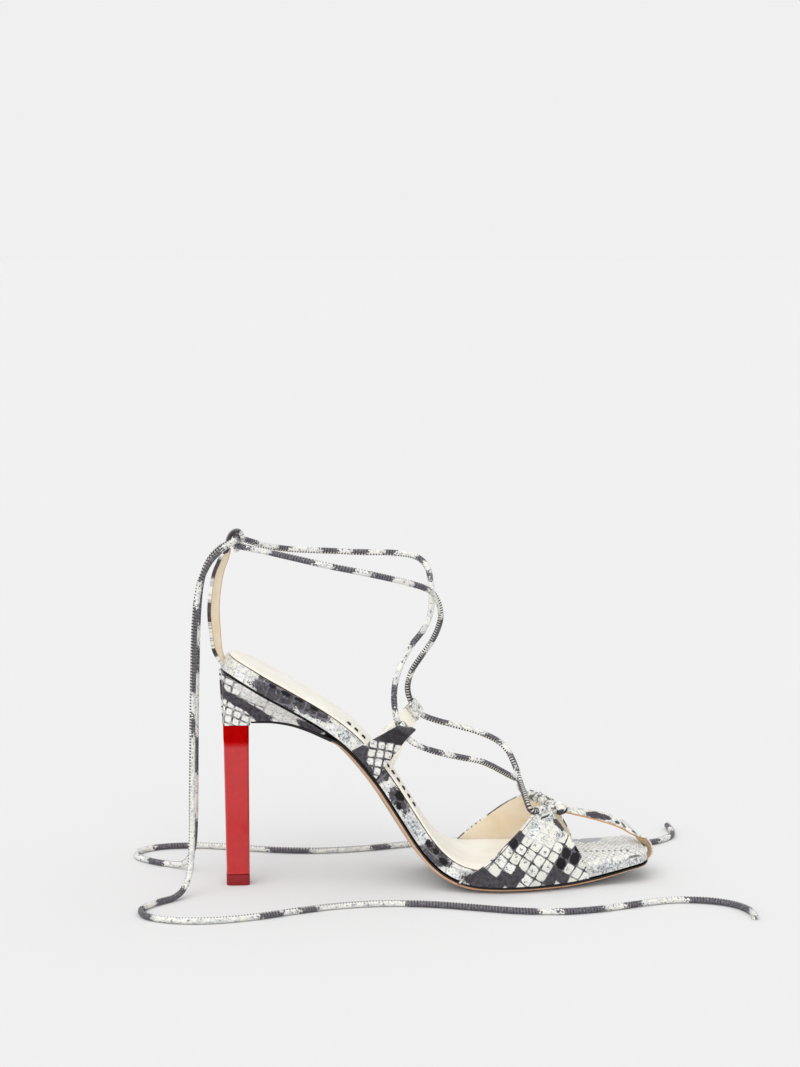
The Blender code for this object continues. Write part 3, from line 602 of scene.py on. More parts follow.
CREAM_SCALE = tone("#dcdacf")
WHITE_SCALE = tone("#e8e7e3")
BRIGHT_SCALE = tone("#f6f5f1")
BLUE_GREY = tone("#8995a2")
OUTLINE_GREY = tone("#868c93")
DARK_GAP = tone("#3c393f")
PALE_GAP = tone("#a9adb1")
CHARCOAL = tone("#514d52")
CHARCOAL_DARK = tone("#37343a")
VEIN = tone("#85838a")
INK = tone("#0d0b0e")
INK_GAP = tone("#5d5961")
SLATE = tone("#4d545e")
THREAD_PALE = tone("#c9c5be")
CUT_TAN = tone("#c98f55")
BODY_REDS = (tone("#bc0c12"), tone("#b30a0f"))
HEAD_REDS = (tone("#a90406"), tone("#a10305"))


def blend(one, other, share):
    return tuple((1 - share) * a + share * b for a, b in zip(one, other))


class Finish:
    """A material being put together, node by node."""

    def __init__(self, name, **shader):
        self.material = bpy.data.materials.new(name)
        self.material.use_nodes = True
        self.nodes = self.material.node_tree.nodes
        self.links = self.material.node_tree.links
        self.shader = self.nodes["Principled BSDF"]
        for socket, value in shader.items():
            self.shader.inputs[socket.replace("_", " ")].default_value = value

    def feed(self, socket, value):
        if isinstance(value, bpy.types.NodeSocket):
            self.links.new(value, socket)
        elif value is not None:
            socket.default_value = value

    def node(self, kind, settings=None, **inputs):
        made = self.nodes.new("ShaderNode" + kind)
        for key, value in (settings or {}).items():
            setattr(made, key, value)
        for name, value in inputs.items():
            self.feed(made.inputs[name.replace("_", " ")], value)
        return made

    def math(self, operation, a, b=None):
        made = self.node("Math", {"operation": operation})
        self.feed(made.inputs[0], a)
        self.feed(made.inputs[1], b)
        return made.outputs[0]

    def total(self, *values):
        summed = values[0]
        for value in values[1:]:
            summed = self.math("ADD", summed, value)
        return summed

    def share(self, value, amount):
        return self.math("MULTIPLY", value, amount)

    def either(self, a, b):
        return self.math("MAXIMUM", a, b)

    def sway(self, noise, amount):
        """A noise value as a push both ways."""
        return self.share(self.math("SUBTRACT", noise, 0.5), 2 * amount)

    def vector(self, operation, a, b=None):
        made = self.node("VectorMath", {"operation": operation})
        self.feed(made.inputs[0], a)
        self.feed(made.inputs[1], b)
        return made.outputs["Value" if operation == "LENGTH" else "Vector"]

    def mix(self, share, a, b):
        made = self.node("Mix", {"data_type": "RGBA"})
        self.feed(made.inputs["Factor"], share)
        self.feed(made.inputs[6], a)
        self.feed(made.inputs[7], b)
        return made.outputs[2]

    def fade(self, value, low, high, to_low=0.0, to_high=1.0):
        """A soft step of value from low to high."""
        return self.node(
            "MapRange", {"interpolation_type": "SMOOTHSTEP"}, Value=value, From_Min=low, From_Max=high,
            To_Min=to_low, To_Max=to_high,
        ).outputs["Result"]

    def noise(self, where, scale, detail=2.0):
        return self.node("TexNoise", Vector=where, Scale=scale, Detail=detail).outputs["Fac"]

    def leather_place(self):
        return self.node("UVMap", {"uv_map": LEATHER_MAP}).outputs["UV"]

    def object_place(self):
        """The place on the object, in millimetres."""
        return self.turned(self.node("TexCoord").outputs["Object"], 1 / MM)

    def strayed(self, where, scale, amount):
        """Places pushed about a little, so that rows aren't ruled."""
        push = self.node("TexNoise", Vector=where, Scale=scale, Detail=1.0).outputs["Color"]
        push = self.vector("SUBTRACT", push, (0.5, 0.5, 0.5))
        return self.vector("ADD", where, self.vector("MULTIPLY", push, (2 * amount, 2 * amount, 0)))

    def turned(self, where, scale, degrees=0.0):
        return self.node(
            "Mapping", {"vector_type": "POINT"}, Vector=where, Scale=(scale, scale, scale),
            Rotation=(0, 0, math.radians(degrees)),
        ).outputs["Vector"]

    def nearest_patch(self, where, patches):
        """How far a place is from the nearest patch: under 1 inside it."""
        nearest = None
        for along, up, reach_along, reach_up, degrees in patches:
            made = self.node(
                "Mapping", {"vector_type": "TEXTURE"}, Vector=where, Location=(along, up, 0),
                Rotation=(0, 0, math.radians(degrees)), Scale=(reach_along, reach_up, 1),
            )
            reach = self.vector("LENGTH", made.outputs["Vector"])
            nearest = reach if nearest is None else self.math("MINIMUM", nearest, reach)
        return nearest

    def scales(self, flat, scales):
        """Rows of scales: the middle of the one at each place, its chance, and reaches from it.

        "reach" grows to the scale's sides, "away" all round, and "astray" round a spot off the middle.
        """
        start = (*scales["start"], 0)
        pitch = (*scales["pitch"], 1)
        rows = self.turned(self.vector("SUBTRACT", flat, start), 1, scales["turn"])
        rows = self.vector("ADD", self.vector("DIVIDE", rows, pitch), (0.5, 0.5, 0))
        cell = self.vector("FLOOR", rows)
        middle = self.turned(self.vector("MULTIPLY", cell, pitch), 1, -scales["turn"])
        colour = self.node("TexWhiteNoise", {"noise_dimensions": "2D"}, Vector=cell).outputs["Color"]
        off = self.vector("SUBTRACT", self.vector("FRACTION", rows), (0.5, 0.5, 0))
        off = self.vector("MULTIPLY", off, (1, 1, 0))
        push = self.vector("SUBTRACT", colour, (0.5, 0.5, 0.5))
        push = self.vector("MULTIPLY", push, (0.55, 0.55, 0))
        sides = self.node("SeparateXYZ", Vector=self.vector("ABSOLUTE", off)).outputs
        square = self.math("MAXIMUM", sides["X"], sides["Y"])
        away = self.vector("LENGTH", off)
        reach = self.total(self.share(square, 0.75), self.share(away, 0.25))
        return {
            "middle": self.vector("ADD", middle, start),
            "chance": self.node("SeparateColor", Color=colour).outputs,
            "reach": self.total(reach, self.sway(self.noise(flat, 0.8), 0.08)),
            "away": away,
            "astray": self.vector("LENGTH", self.vector("ADD", off, push)),
        }

    def gaps(self, reach, scales):
        """The lines between scales, from 0 to 1."""
        gap = 2 * scales["gap"] / sum(scales["pitch"])
        return self.fade(reach, 0.5 - gap, 0.5 - 0.4 * gap)

    def bump(self, height, millimetres):
        return self.node("Bump", Height=height, Distance=millimetres * MM).outputs["Normal"]

    def done(self, colour=None, normal=None, roughness=None):
        self.feed(self.shader.inputs["Base Color"], colour)
        self.feed(self.shader.inputs["Normal"], normal)
        self.feed(self.shader.inputs["Roughness"], roughness)
        return self.material

    def charcoal_leather(self, flat):
        grain = self.noise(flat, 2.2, 3.0)
        wrinkle = self.total(self.share(self.noise(flat, 0.5, 4.0), 0.6), self.share(grain, 0.4))
        # The tone follows the wrinkles, lighter on their tops: partly the leather's own mottling, partly
        # painted highlight on the glossy wrinkles
        return self.mix(self.fade(wrinkle, 0.38, 0.62), CHARCOAL_DARK, CHARCOAL), wrinkle

    def torn(self, flat, patches, clouds, fine, amount=1.0):
        """Patches with ragged borders, from 0 to 1."""
        ragged = self.total(self.sway(clouds, 0.75 * amount), self.sway(fine, 0.5 * amount))
        return self.fade(self.total(self.nearest_patch(flat, patches), ragged), 1.07, 0.93)

    def crease(self):
        return self.node("Attribute", {"attribute_name": CREASE_MARK}).outputs["Fac"]

    def foot_line(self, colour, width):
        """The black line along the foot of a rim or panel: partly the sole's edge paint run up onto it,
        partly painted shade of the gap above the sole.
        """
        up = self.node("SeparateXYZ", Vector=self.leather_place()).outputs["Y"]
        return self.mix(self.fade(up, width - 0.15, width + 0.15), INK, colour)


def print_leather(
    name, scales, charcoal=(), ink=(), faded=(), torn=(), bluish=(), deep=(), gap_tone=DARK_GAP,
    lines=(0.7, 1.0), whites=(CREAM_SCALE, WHITE_SCALE), mottle=0.3, blotched=0.0, veined=0.0, tearing=1.0,
    flecked=0.0, foot=0.0, seam=0.0, crease_shade=False, relief=0.18,
):
    """Snake print: white scales between dark lines, with charcoal and black patches.

    The charcoal patches end at whole scales, the torn and bluish ones at ragged borders. The lines are
    drawn between two strengths, and a seam is a dark line that far from the edge.
    """
    made = Finish(name, Specular_IOR_Level=0.2)
    flat = made.strayed(made.leather_place(), 0.1, 1.0)
    found = made.scales(flat, scales)
    middle, chance, reach = found["middle"], found["chance"], found["reach"]
    clouds = made.noise(flat, 0.24, 3.0)
    fine = made.noise(flat, 1.0, 4.0)
    gaps = made.gaps(reach, scales)
    patchy = made.noise(flat, 0.3)
    line = made.share(gaps, made.fade(patchy, 0.4, 0.6, *lines))

    # White scales with their smudges, specks and flecks
    white = made.mix(chance["Green"], *whites)
    smudge = made.fade(made.total(made.share(clouds, 0.55), made.share(fine, 0.45)), 0.47, 0.62)
    white = made.mix(made.share(smudge, 0.6 * mottle), white, BLUE_GREY)
    specks = made.fade(fine, 0.57, 0.67)
    if faded:
        fading = made.fade(made.nearest_patch(flat, faded), 1.3, 0.7)
        specks = made.share(specks, made.either(made.share(fading, 0.85), mottle))
        line = made.share(line, made.fade(fading, 0.0, 1.0, 1.0, 0.4))
        gap_tone = made.mix(fading, gap_tone, PALE_GAP)
    else:
        specks = made.share(specks, mottle)
    white = made.mix(specks, white, OUTLINE_GREY)
    if bluish:
        smoky = made.torn(flat, bluish, clouds, fine, 1.6)
        white = made.mix(made.share(smoky, made.fade(fine, 0.4, 0.6, 0.1, 0.6)), white, BLUE_GREY)
        strokes = made.noise(made.vector("MULTIPLY", flat, (1.2, 0.55, 1)), 1.0, 3.0)
        white = made.mix(made.share(smoky, made.fade(strokes, 0.53, 0.6, 0.0, 0.85)), white, SLATE)
    ticks = made.fade(made.noise(flat, 1.25, 2.0), 0.66, 0.71)
    white = made.mix(made.share(ticks, 0.75), white, DARK_GAP)
    if flecked:
        fleck = made.total(found["astray"], made.sway(made.noise(flat, 1.5, 3.0), 0.5))
        fleck = made.share(made.fade(fleck, 0.14, 0.06), made.math("GREATER_THAN", chance["Blue"], 0.35))
        white = made.mix(made.share(fleck, flecked), white, SLATE)
    white = made.mix(line, white, gap_tone)

    # Charcoal and black patches
    plain, grain = made.charcoal_leather(flat)
    dark = 0.0
    if charcoal:
        jitter = made.sway(chance["Red"], 0.1)
        dark = made.math("LESS_THAN", made.total(made.nearest_patch(middle, charcoal), jitter), 1.0)
    if torn:
        dark = made.either(made.torn(flat, torn, clouds, fine, tearing), dark)
    if veined:
        veins = made.share(gaps, made.fade(patchy, 0.35, 0.6, 0.2, veined))
        plain = made.mix(veins, plain, VEIN)
        flecks = made.fade(made.noise(flat, 0.7, 4.0), 0.6, 0.66)
        plain = made.mix(made.share(flecks, 0.55), plain, OUTLINE_GREY)
    if deep:
        deepest = made.fade(made.nearest_patch(flat, deep), 1.25, 0.7)
        plain = made.mix(made.share(deepest, 0.58), plain, INK)
    if blotched:
        blots = made.fade(made.noise(flat, 0.4, 4.0), 0.55, 0.62)
        dark = made.either(made.share(blots, blotched), dark)
    if ink and charcoal:
        inked = made.math("LESS_THAN", made.nearest_patch(middle, ink), 1.0)
        black = made.mix(made.share(chance["Blue"], 0.25), INK, CHARCOAL_DARK)
        rounded = made.total(made.share(reach, 0.5), made.share(found["away"], 0.5), made.sway(fine, 0.12))
        plain = made.mix(inked, plain, made.mix(made.fade(rounded, 0.45, 0.5), black, INK_GAP))
        dark = made.either(dark, inked)
    elif ink:
        blot = made.fade(made.total(made.nearest_patch(flat, ink), made.sway(fine, 0.6)), 1.1, 0.85)
        plain = made.mix(blot, plain, INK)
        dark = made.either(dark, blot)

    # Painted crease shade, seams and the black foot line over both
    colour = made.mix(dark, white, plain)
    # Painted shade: darker deep in creases, in the gathers' pleat troughs and mouths and in the knot's fold
    if crease_shade:
        colour = made.mix(made.share(made.fade(made.crease(), 0.25, 0.9), 0.85), colour, CHARCOAL_DARK)
    if seam:
        beside = made.math("ABSOLUTE", made.math("SUBTRACT", made.share(made.crease(), EDGE_REACH), seam))
        colour = made.mix(made.fade(beside, 0.25, 0.5, 0.9, 0.0), colour, CHARCOAL_DARK)
    if foot:
        colour = made.foot_line(colour, foot)
    height = made.total(made.share(line, -0.7), made.share(grain, 0.6))
    return made.done(colour, made.bump(height, relief), made.fade(dark, 0.0, 1.0, 0.46, 0.3))


SPAN_LENGTH = 10.5
SPAN_DARK_SHARE = 0.48


def cord_print(name, stretches, seed):
    """Rolled printed leather in charcoal and cream stretches, whipped with thread along its edge.

    Where no charcoal stretches are given, they are strewn along the cord.
    """
    made = Finish(name, Roughness=0.45, Specular_IOR_Level=0.2)
    where = made.leather_place()
    parts = made.node("SeparateXYZ", Vector=where).outputs
    along, around = parts["X"], parts["Y"]
    shifted = made.vector("ADD", where, (seed, 0, 0))
    clouds = made.noise(shifted, 0.3, 3.0)
    fine = made.noise(shifted, 1.0, 4.0)
    slant = made.total(along, made.share(around, 0.3), made.sway(clouds, 5.0), made.sway(fine, 6.0))
    if stretches:
        line = made.node("CombineXYZ", X=slant).outputs["Vector"]
        patches = [((start + end) / 2, 0, (end - start) / 2, 1, 0) for start, end in stretches]
        dark = made.fade(made.nearest_patch(line, patches), 1.04, 0.96)
    else:
        place_along = made.total(slant, seed)
        spans = made.node("TexVoronoi", {"voronoi_dimensions": "1D"}, W=place_along, Scale=1 / SPAN_LENGTH)
        pick = made.node("SeparateColor", Color=spans.outputs["Color"]).outputs["Red"]
        dark = made.math("LESS_THAN", pick, SPAN_DARK_SHARE)
    smudge = made.fade(made.total(made.share(clouds, 0.5), made.share(fine, 0.5)), 0.46, 0.6)
    cream = made.mix(made.share(smudge, 0.55), made.mix(clouds, CREAM_SCALE, WHITE_SCALE), BLUE_GREY)
    blots = made.fade(made.noise(shifted, 0.55, 3.0), 0.6, 0.66)
    cream = made.mix(made.share(blots, 0.85), cream, CHARCOAL)
    plain, grain = made.charcoal_leather(shifted)
    beat = made.total(made.share(along, 2 * math.pi / STITCH_PITCH), made.share(around, 0.5))
    rib = made.fade(made.math("SINE", beat), -0.5, 0.5)
    flecks = made.fade(made.noise(shifted, 0.9, 3.0), 0.58, 0.64)
    plain = made.mix(made.share(rib, 0.4), plain, VEIN)
    plain = made.mix(made.share(flecks, 0.7), plain, OUTLINE_GREY)
    colour = made.mix(dark, cream, plain)
    edge = made.math("ABSOLUTE", made.math("SUBTRACT", around, CORD_ROUND / 2))
    on_edge = made.fade(edge, 0.7, 1.0, 1.0, 0.0)
    stitched = made.mix(rib, made.mix(dark, WHITE_SCALE, INK), made.mix(dark, INK, THREAD_PALE))
    colour = made.mix(on_edge, colour, stitched)
    return made.done(colour, made.bump(made.total(grain, rib), 0.06))


def smooth_leather(name, colour, darker, grain=0.05, roughness=0.55, edged=False):
    """Plain leather with a faint cloudy tone and a fine grain."""
    made = Finish(name, Roughness=roughness, Specular_IOR_Level=0.35)
    where = made.object_place()
    clouds = made.fade(made.noise(where, 0.06, 3.0), 0.35, 0.7)
    pores = made.noise(where, 3.2, 3.0)
    tint = made.mix(clouds, tone(colour), tone(darker))
    tint = made.mix(made.fade(pores, 0.6, 0.75, 0.0, 0.25), tint, tone(darker))
    if edged:
        tint = made.mix(made.fade(made.crease(), 0.8, 0.92), tint, CUT_TAN)
    return made.done(tint, made.bump(pores, grain))


def toe_print_and_shade(name):
    """Silvery white print of the toe sock: small scales in slanting rows and a line of dark dots, with
    painted shade on its far side and a painted shadow along its front edge.
    """
    made = Finish(name, Roughness=0.36, Specular_IOR_Level=0.5)
    flat = made.strayed(made.leather_place(), 0.12, 1.2)
    found = made.scales(made.vector("MULTIPLY", flat, TOE_STRETCH), TOE_SCALES)
    chance = found["chance"]
    gaps = made.gaps(found["reach"], TOE_SCALES)
    drawn = made.share(gaps, made.fade(made.noise(flat, 0.3), 0.4, 0.62, 0.1, 0.75))
    colour = made.mix(made.share(chance["Green"], 0.35), WHITE_SCALE, PALE_GAP)
    colour = made.mix(made.fade(made.noise(flat, 0.2, 3.0), 0.35, 0.65, 0.0, 0.6), colour, CREAM_SCALE)
    colour = made.mix(drawn, colour, OUTLINE_GREY)
    shaded = made.nearest_patch(made.vector("DIVIDE", found["middle"], TOE_STRETCH), TOE_SHADE)
    shaded = made.fade(made.total(shaded, made.sway(chance["Red"], 0.12)), 1.05, 0.95)
    colour = made.mix(made.share(shaded, 0.75), colour, OUTLINE_GREY)
    # Print dots, and a painted shadow along the sock's front edge, both in charcoal
    dots = made.fade(made.nearest_patch(made.leather_place(), TOE_DOTS + TOE_EDGE_SHADOW), 1.2, 0.8)
    colour = made.mix(made.share(dots, 0.85), colour, CHARCOAL)
    dome = made.fade(found["away"], 0.1, 0.6, 1.0, 0.0)
    return made.done(colour, made.bump(made.total(made.share(dome, 0.6), made.share(gaps, -0.5)), 0.3))


def lacquer(name, shaded):
    """Red lacquer with faint ripples, deeper and less glossy where it is shaded by the cup."""
    gloss = POST_GLOSS * (1 - shaded) ** 2
    made = Finish(
        name, Roughness=0.22, Specular_IOR_Level=gloss, Coat_Weight=0.5 * gloss, Coat_Roughness=0.05
    )
    ripple = made.noise(made.object_place(), 0.35, 1.0)
    light, dark = (blend(body, head, shaded) for body, head in zip(BODY_REDS, HEAD_REDS))
    tint = made.mix(made.fade(ripple, 0.3, 0.7), light, dark)
    return made.done(tint, made.bump(ripple, 0.05))


def plain_rubber(name):
    made = Finish(name, Roughness=0.5, Specular_IOR_Level=0.3)
    grain = made.noise(made.object_place(), 2.2, 4.0)
    colour = made.mix(made.fade(grain, 0.3, 0.7), tone("#7d1216"), tone("#8f171c"))
    return made.done(colour, made.bump(grain, 0.04))


def sole_edge(name):
    """Black edge paint, slightly uneven."""
    made = Finish(name, Roughness=0.4, Specular_IOR_Level=0.35)
    streaks = made.noise(made.object_place(), 0.8, 4.0)
    colour = made.mix(made.fade(streaks, 0.3, 0.8), tone("#0f0d10"), tone("#1e1b1f"))
    return made.done(colour, made.bump(streaks, 0.05))


def thread(name, colour):
    made = Finish(name, Roughness=0.6)
    twist = made.noise(made.object_place(), 4.0, 2.0)
    return made.done(made.mix(twist, tone(colour), INK), made.bump(twist, 0.05))


# Camera and stage

CAMERA_PLACE = (-25.3, -1295.1, 315.0)
CAMERA_AIM = (88.0, 0.0, 170.9)
CAMERA_LENS = 91.2
SENSOR = 36.0
CAMERA_REACH = 100.0
FLOOR_SIZE = 60.0
FLOOR_CLOUDS = 1.01
BACKGROUND = 0.871
KEY = {"from": (-0.35, -0.5, 1.0), "spread": 55.0, "strength": 0.30}
FILL = {"from": (-0.2, -1.0, 0.35), "spread": 60.0, "strength": 0.28}


def aimed(name, data, toward, axis):
    """A camera or lamp in the scene, with one of its axes turned toward a direction."""
    made = bpy.data.objects.new(name, data)
    bpy.context.scene.collection.objects.link(made)
    made.rotation_mode = "QUATERNION"
    made.rotation_quaternion = toward.to_track_quat(axis, "Y")
    return made


def make_camera():
    data = bpy.data.cameras.new("camera")
    data.sensor_width = SENSOR
    data.lens = CAMERA_LENS
    data.clip_end = CAMERA_REACH
    toward = Vector(place(CAMERA_AIM)) - Vector(place(CAMERA_PLACE))
    camera = aimed("camera", data, toward, "-Z")
    camera.location = place(CAMERA_PLACE)
    bpy.context.scene.camera = camera


def make_stage():
    """A pale floor as bright as the background, in light from all round, a broad key and a fill."""
    suns = [make_sun(name, light) for name, light in (("key", KEY), ("fill", FILL))]
    white = BACKGROUND / (BACKGROUND + sum(suns))
    floor = added("floor", bpy.ops.mesh.primitive_plane_add, size=FLOOR_SIZE)
    made = Finish("floor", Roughness=1.0, Specular_IOR_Level=0.0)
    clouds = made.noise(made.object_place(), 0.004)
    shades = [(white * lift, white * lift, white * lift, 1) for lift in (1.0, FLOOR_CLOUDS)]
    dress(floor, made.done(made.mix(clouds, *shades)))
    world = bpy.context.scene.world or bpy.data.worlds.new("world")
    bpy.context.scene.world = world
    world.use_nodes = True
    sky = world.node_tree.nodes["Background"]
    sky.inputs["Color"].default_value = (1, 1, 1, 1)
    sky.inputs["Strength"].default_value = BACKGROUND
    bpy.context.scene.view_settings.view_transform = "Standard"


def make_sun(name, light):
    """A broad far lamp. Gives back how bright it makes a white floor."""
    toward = Vector(light["from"]).normalized()
    data = bpy.data.lights.new(name, "SUN")
    data.angle = math.radians(light["spread"])
    data.energy = math.pi * light["strength"]
    aimed(name, data, toward, "Z")
    return light["strength"] * toward.z


# Cords

# Charcoal stretches along the laces, from the vamp's end
STRETCHES_TO_LATERAL_TAB = (
    (46, 68), (75, 84), (90, 100), (117, 120), (125, 137), (158, 168), (198, 202), (210, 216),
    (228, 234), (242, 250), (257, 267), (283, 291), (304, 312),
)
STRETCHES_TO_MEDIAL_TAB = (
    (19, 45), (50, 60), (68, 77), (96, 109), (119, 131), (136, 148), (155, 171), (194, 206),
    (219, 231), (240, 249), (258, 282), (294, 303),
)

# Where the stitched edge lies round the laces: along them, and its turn up from facing outwards
EDGE_TO_LATERAL_TAB = (
    (0, -30), (68, -40), (80, -75), (115, -80), (140, -150), (195, -120), (215, -75), (320, -70),
)
EDGE_TO_MEDIAL_TAB = ((0, 20), (48, 25), (62, -60), (112, -60), (128, 25), (172, 20), (195, 85), (310, 85))
EDGE_OF_TIES = ((0, 80), (120, 40), (220, 110), (330, 60), (450, 120), (555, 80))
EDGE_FACES = (-0.2, -1.0, 0.25)

# The stitched edge: its reach round the cord in radians, its height and the stitches' share of it
EDGE_LIP = {"reach": 0.45, "height": 0.13, "stitches": 0.35}
CORD_SLIM = 0.96
CORD_PATH_STEP = 5


def make_cords():
    """The two laces through their tunnels, and the two free ties on the floor."""
    for name, route, edge, stretches in (
        ("lace_lateral", LACE_TO_LATERAL_TAB, EDGE_TO_LATERAL_TAB, STRETCHES_TO_LATERAL_TAB),
        ("lace_medial", LACE_TO_MEDIAL_TAB, EDGE_TO_MEDIAL_TAB, STRETCHES_TO_MEDIAL_TAB),
    ):
        finish = cord_print(name + "_print", stretches, 0.0)
        piece = rolled_cord(name, flowing(route, CORD_STEP), edge, finish)
        finished(piece, "lace_leather", "lace")
    for name, drop, lying, node, seed in (
        ("tie_lateral_cord", LATERAL_TIE_DROP, LATERAL_TIE_LYING, "tie_lateral", 640.0),
        ("tie_medial_cord", MEDIAL_TIE_DROP, MEDIAL_TIE_LYING, "tie_medial", 1910.0),
    ):
        path = flowing(drop + tuple((x, y, TIE_FLOOR) for x, y in lying), CORD_STEP)
        path[:, 2] = np.maximum(path[:, 2], TIE_FLOOR)
        path = path[arc(path) <= TIE_LENGTH]
        piece = rolled_cord(name, path, EDGE_OF_TIES, cord_print(name + "_print", (), seed))
        finished(piece, "lace_leather", node)
        place(path[0])
        [place(p) for p in path[::CORD_PATH_STEP]]


def rolled_cord(name, path, edge, finish):
    """A cord of rolled leather, with its stitched edge standing up along one side."""
    run = arc(path)
    angles = round_turn(CORD_SIDES)
    lip = EDGE_LIP["height"] * np.exp(-(((angles - math.pi) / EDGE_LIP["reach"]) ** 2))
    stitches = 1 + EDGE_LIP["stitches"] * (np.sin(2 * math.pi * run / STITCH_PITCH) - 1)
    radius = CORD_DIAMETER / 2 * (CORD_SLIM + lip[None, :] * stitches[:, None])
    turn = np.radians(np.interp(run, *zip(*edge)))
    rings = facing_rings(path, radius, angles, turn)
    leather = laid_out(run, np.arange(CORD_SIDES + 1) / CORD_SIDES * CORD_ROUND)
    piece = ringed(name, rings, leather, capped=True, finishes=[finish])
    smooth(piece, 60)
    return piece


def facing_rings(path, radius, angles, turn):
    """Rings along a path whose half turn faces outwards, turned further by an angle at each one."""
    tangents = headings(path)
    facing = unit(EDGE_FACES)
    beside = unit(facing - tangents * (tangents @ facing)[:, None])
    over = np.cross(tangents, beside)
    over *= np.where(over[:, 2:] < 0, -1.0, 1.0)
    spread = angles[None, :] - math.pi + turn[:, None]
    sides = np.cos(spread)[..., None] * beside[:, None] + np.sin(spread)[..., None] * over[:, None]
    return path[:, None] + radius[..., None] * sides


# Sole pieces

CAP_INSET = 3.4
RIM_FOOT_ROUND = 0.35
RIM_FOOT_PROFILE = ((CAP_INSET, 0.0), (1.2, 0.0), (RIM_FOOT_ROUND, 0.12), (0.05, 0.6))
RIM_HEIGHTS = 7
RIM_TOP = 1.5
RIM_TOP_PROFILE = ((0.10, 0.75), (0.45, 0.2), (1.2, 0.0), (CAP_INSET, 0.0))
RIM_HEEL = {"inset": 1.6, "start": 10.0, "run": 8.0}


def drawn_in(inset, heel):
    """An inset at each x, which grows behind the heel strap towards the back of the heel."""
    return lambda x: inset + heel["inset"] * np.clip((heel["start"] - x) / heel["run"], 0, 1) ** 2


def edge_lines(side, offsets):
    """Lines of points round one side of the footbed, one for each (inset, depth) pair."""
    edge = outline(side)
    step = inward(edge, side)
    lines = []
    for offset in offsets:
        inset, depth = (value(edge[:, 0]) if callable(value) else value for value in offset)
        moved = edge + step * np.reshape(inset, (-1, 1))
        lines.append(bed(moved[:, 0], moved[:, 1], depth))
    return np.stack(lines, axis=1)


def side_run(side):
    """Distance round the edge from the back of the heel, negative on the lateral side."""
    edge = outline(side)
    return SIDES[side] * arc(bed(edge[:, 0], edge[:, 1], 0.0))


def make_footbed(printed):
    """The footbed's covered rim."""
    foot = [(inset, lambda x, up=up: last("rim", x) - up) for inset, up in RIM_FOOT_PROFILE]
    low = RIM_FOOT_PROFILE[-1][1]
    wall = [
        (0.0, lambda x, t=t: (last("rim", x) - low) * (1 - t) + RIM_TOP * t)
        for t in np.linspace(0, 1, RIM_HEIGHTS)
    ]
    profile = foot + wall + list(RIM_TOP_PROFILE)
    offsets = [(drawn_in(inset, RIM_HEEL), depth) for inset, depth in profile]
    lines = {side: edge_lines(side, offsets) for side in SIDES}
    up = np.swapaxes(arc(np.swapaxes(lines["lateral"], 0, 1)), 0, 1) - CAP_INSET + RIM_FOOT_ROUND
    leather = {side: laid_out(side_run(side), up) for side in SIDES}
    rings, flat = (
        np.concatenate((both["lateral"], both["medial"][:, ::-1]), axis=1) for both in (lines, leather)
    )
    piece = ringed("footbed_rim", rings, flat, finishes=[printed])
    smooth(piece, 50)
    finished(piece, "print_leather", "footbed")


# Edges of the socks: inset from the footbed's edge, and depth below its top
SOCK_EDGE = ((1.3, -0.3), (1.2, -0.45), (1.2, -0.95), (1.3, -1.2), (1.55, -1.3))
TOE_SOCK_EDGE = ((0.3, 0.9), (0.15, 0.5), (0.5, -0.25), (1.3, -0.85), (2.6, -1.2))
SOCK_HEEL = {"inset": 1.5, "start": 14.0, "run": 10.0}
SOCK_COLUMNS = 21
SOCK_CROWN = 0.8
SOCK_CROWN_REACH = 6.0


def sock_rise(from_edge):
    """Height of the padded sock above its edge."""
    t = np.clip(from_edge / SOCK_CROWN_REACH, 0, 1)
    return SOCK_CROWN * t * t * (3 - 2 * t)


def sock_rings(start, end, profile):
    """Rings of the sock between two places along the last, with their places on the leather."""
    edge = outline("lateral")
    keep = (edge[:, 0] > start) & (edge[:, 0] < end)
    offsets = [(drawn_in(inset, SOCK_HEEL), depth) for inset, depth in profile]
    inset, depth = offsets[-1]
    sides, flat = {}, {}
    for side in SIDES:
        around = outline(side)
        sides[side] = edge_lines(side, offsets)[keep]
        flat[side] = (around + inward(around, side) * inset(around[:, :1]))[keep]
    shares = (1 - np.cos(np.linspace(0, math.pi, SOCK_COLUMNS + 2)[1:-1])) / 2
    rings = []
    for lateral, medial, low, high in zip(*sides.values(), *flat.values()):
        between = low + (high - low) * shares[:, None]
        rise = sock_rise(np.minimum(shares, 1 - shares) * np.linalg.norm(high - low))
        top = bed(between[:, 0], between[:, 1], depth - rise)
        rings.append(np.concatenate((lateral, top, medial[::-1])))
    rings = np.array(rings)
    return rings, laid_out(np.abs(side_run("lateral"))[keep], rings[:, :, 1])


def make_socks(cream, cut_edge, toe_leather):
    rings, leather = sock_rings(HEEL_BACK - 1, SOCK_JOIN_X, SOCK_EDGE)
    last_column = rings.shape[1] - 1

    def finish_of(row, column):
        return 1 if column < 1 or column >= last_column - 1 else 0

    piece = ringed(
        "sock_lining_cover", rings, leather, capped=True, finish_of=finish_of, finishes=[cream, cut_edge]
    )
    smooth(piece, 50)
    finished(piece, "sock_leather", "sock_lining")
    rings, leather = sock_rings(SOCK_JOIN_X + SEAM_GAP, SHOE_LENGTH + 1, TOE_SOCK_EDGE)
    piece = ringed("sock_toe_cover", rings, leather, capped=True, finishes=[toe_leather])
    smooth(piece, 50)
    finished(piece, "print_leather", "sock_toe")


SOLE_SHARES = (-0.95, -0.85, -0.65, -0.4, -0.15, 0.15, 0.4, 0.65, 0.85, 0.95)
EDGE_PAINT = columns(
    ("x", "share"),
    (WAIST_X, 0.75), (70.0, 0.5), (88.0, 0.4), (112.0, 0.42), (135.0, 0.55), (175.0, 0.6), (209.0, 0.68),
)


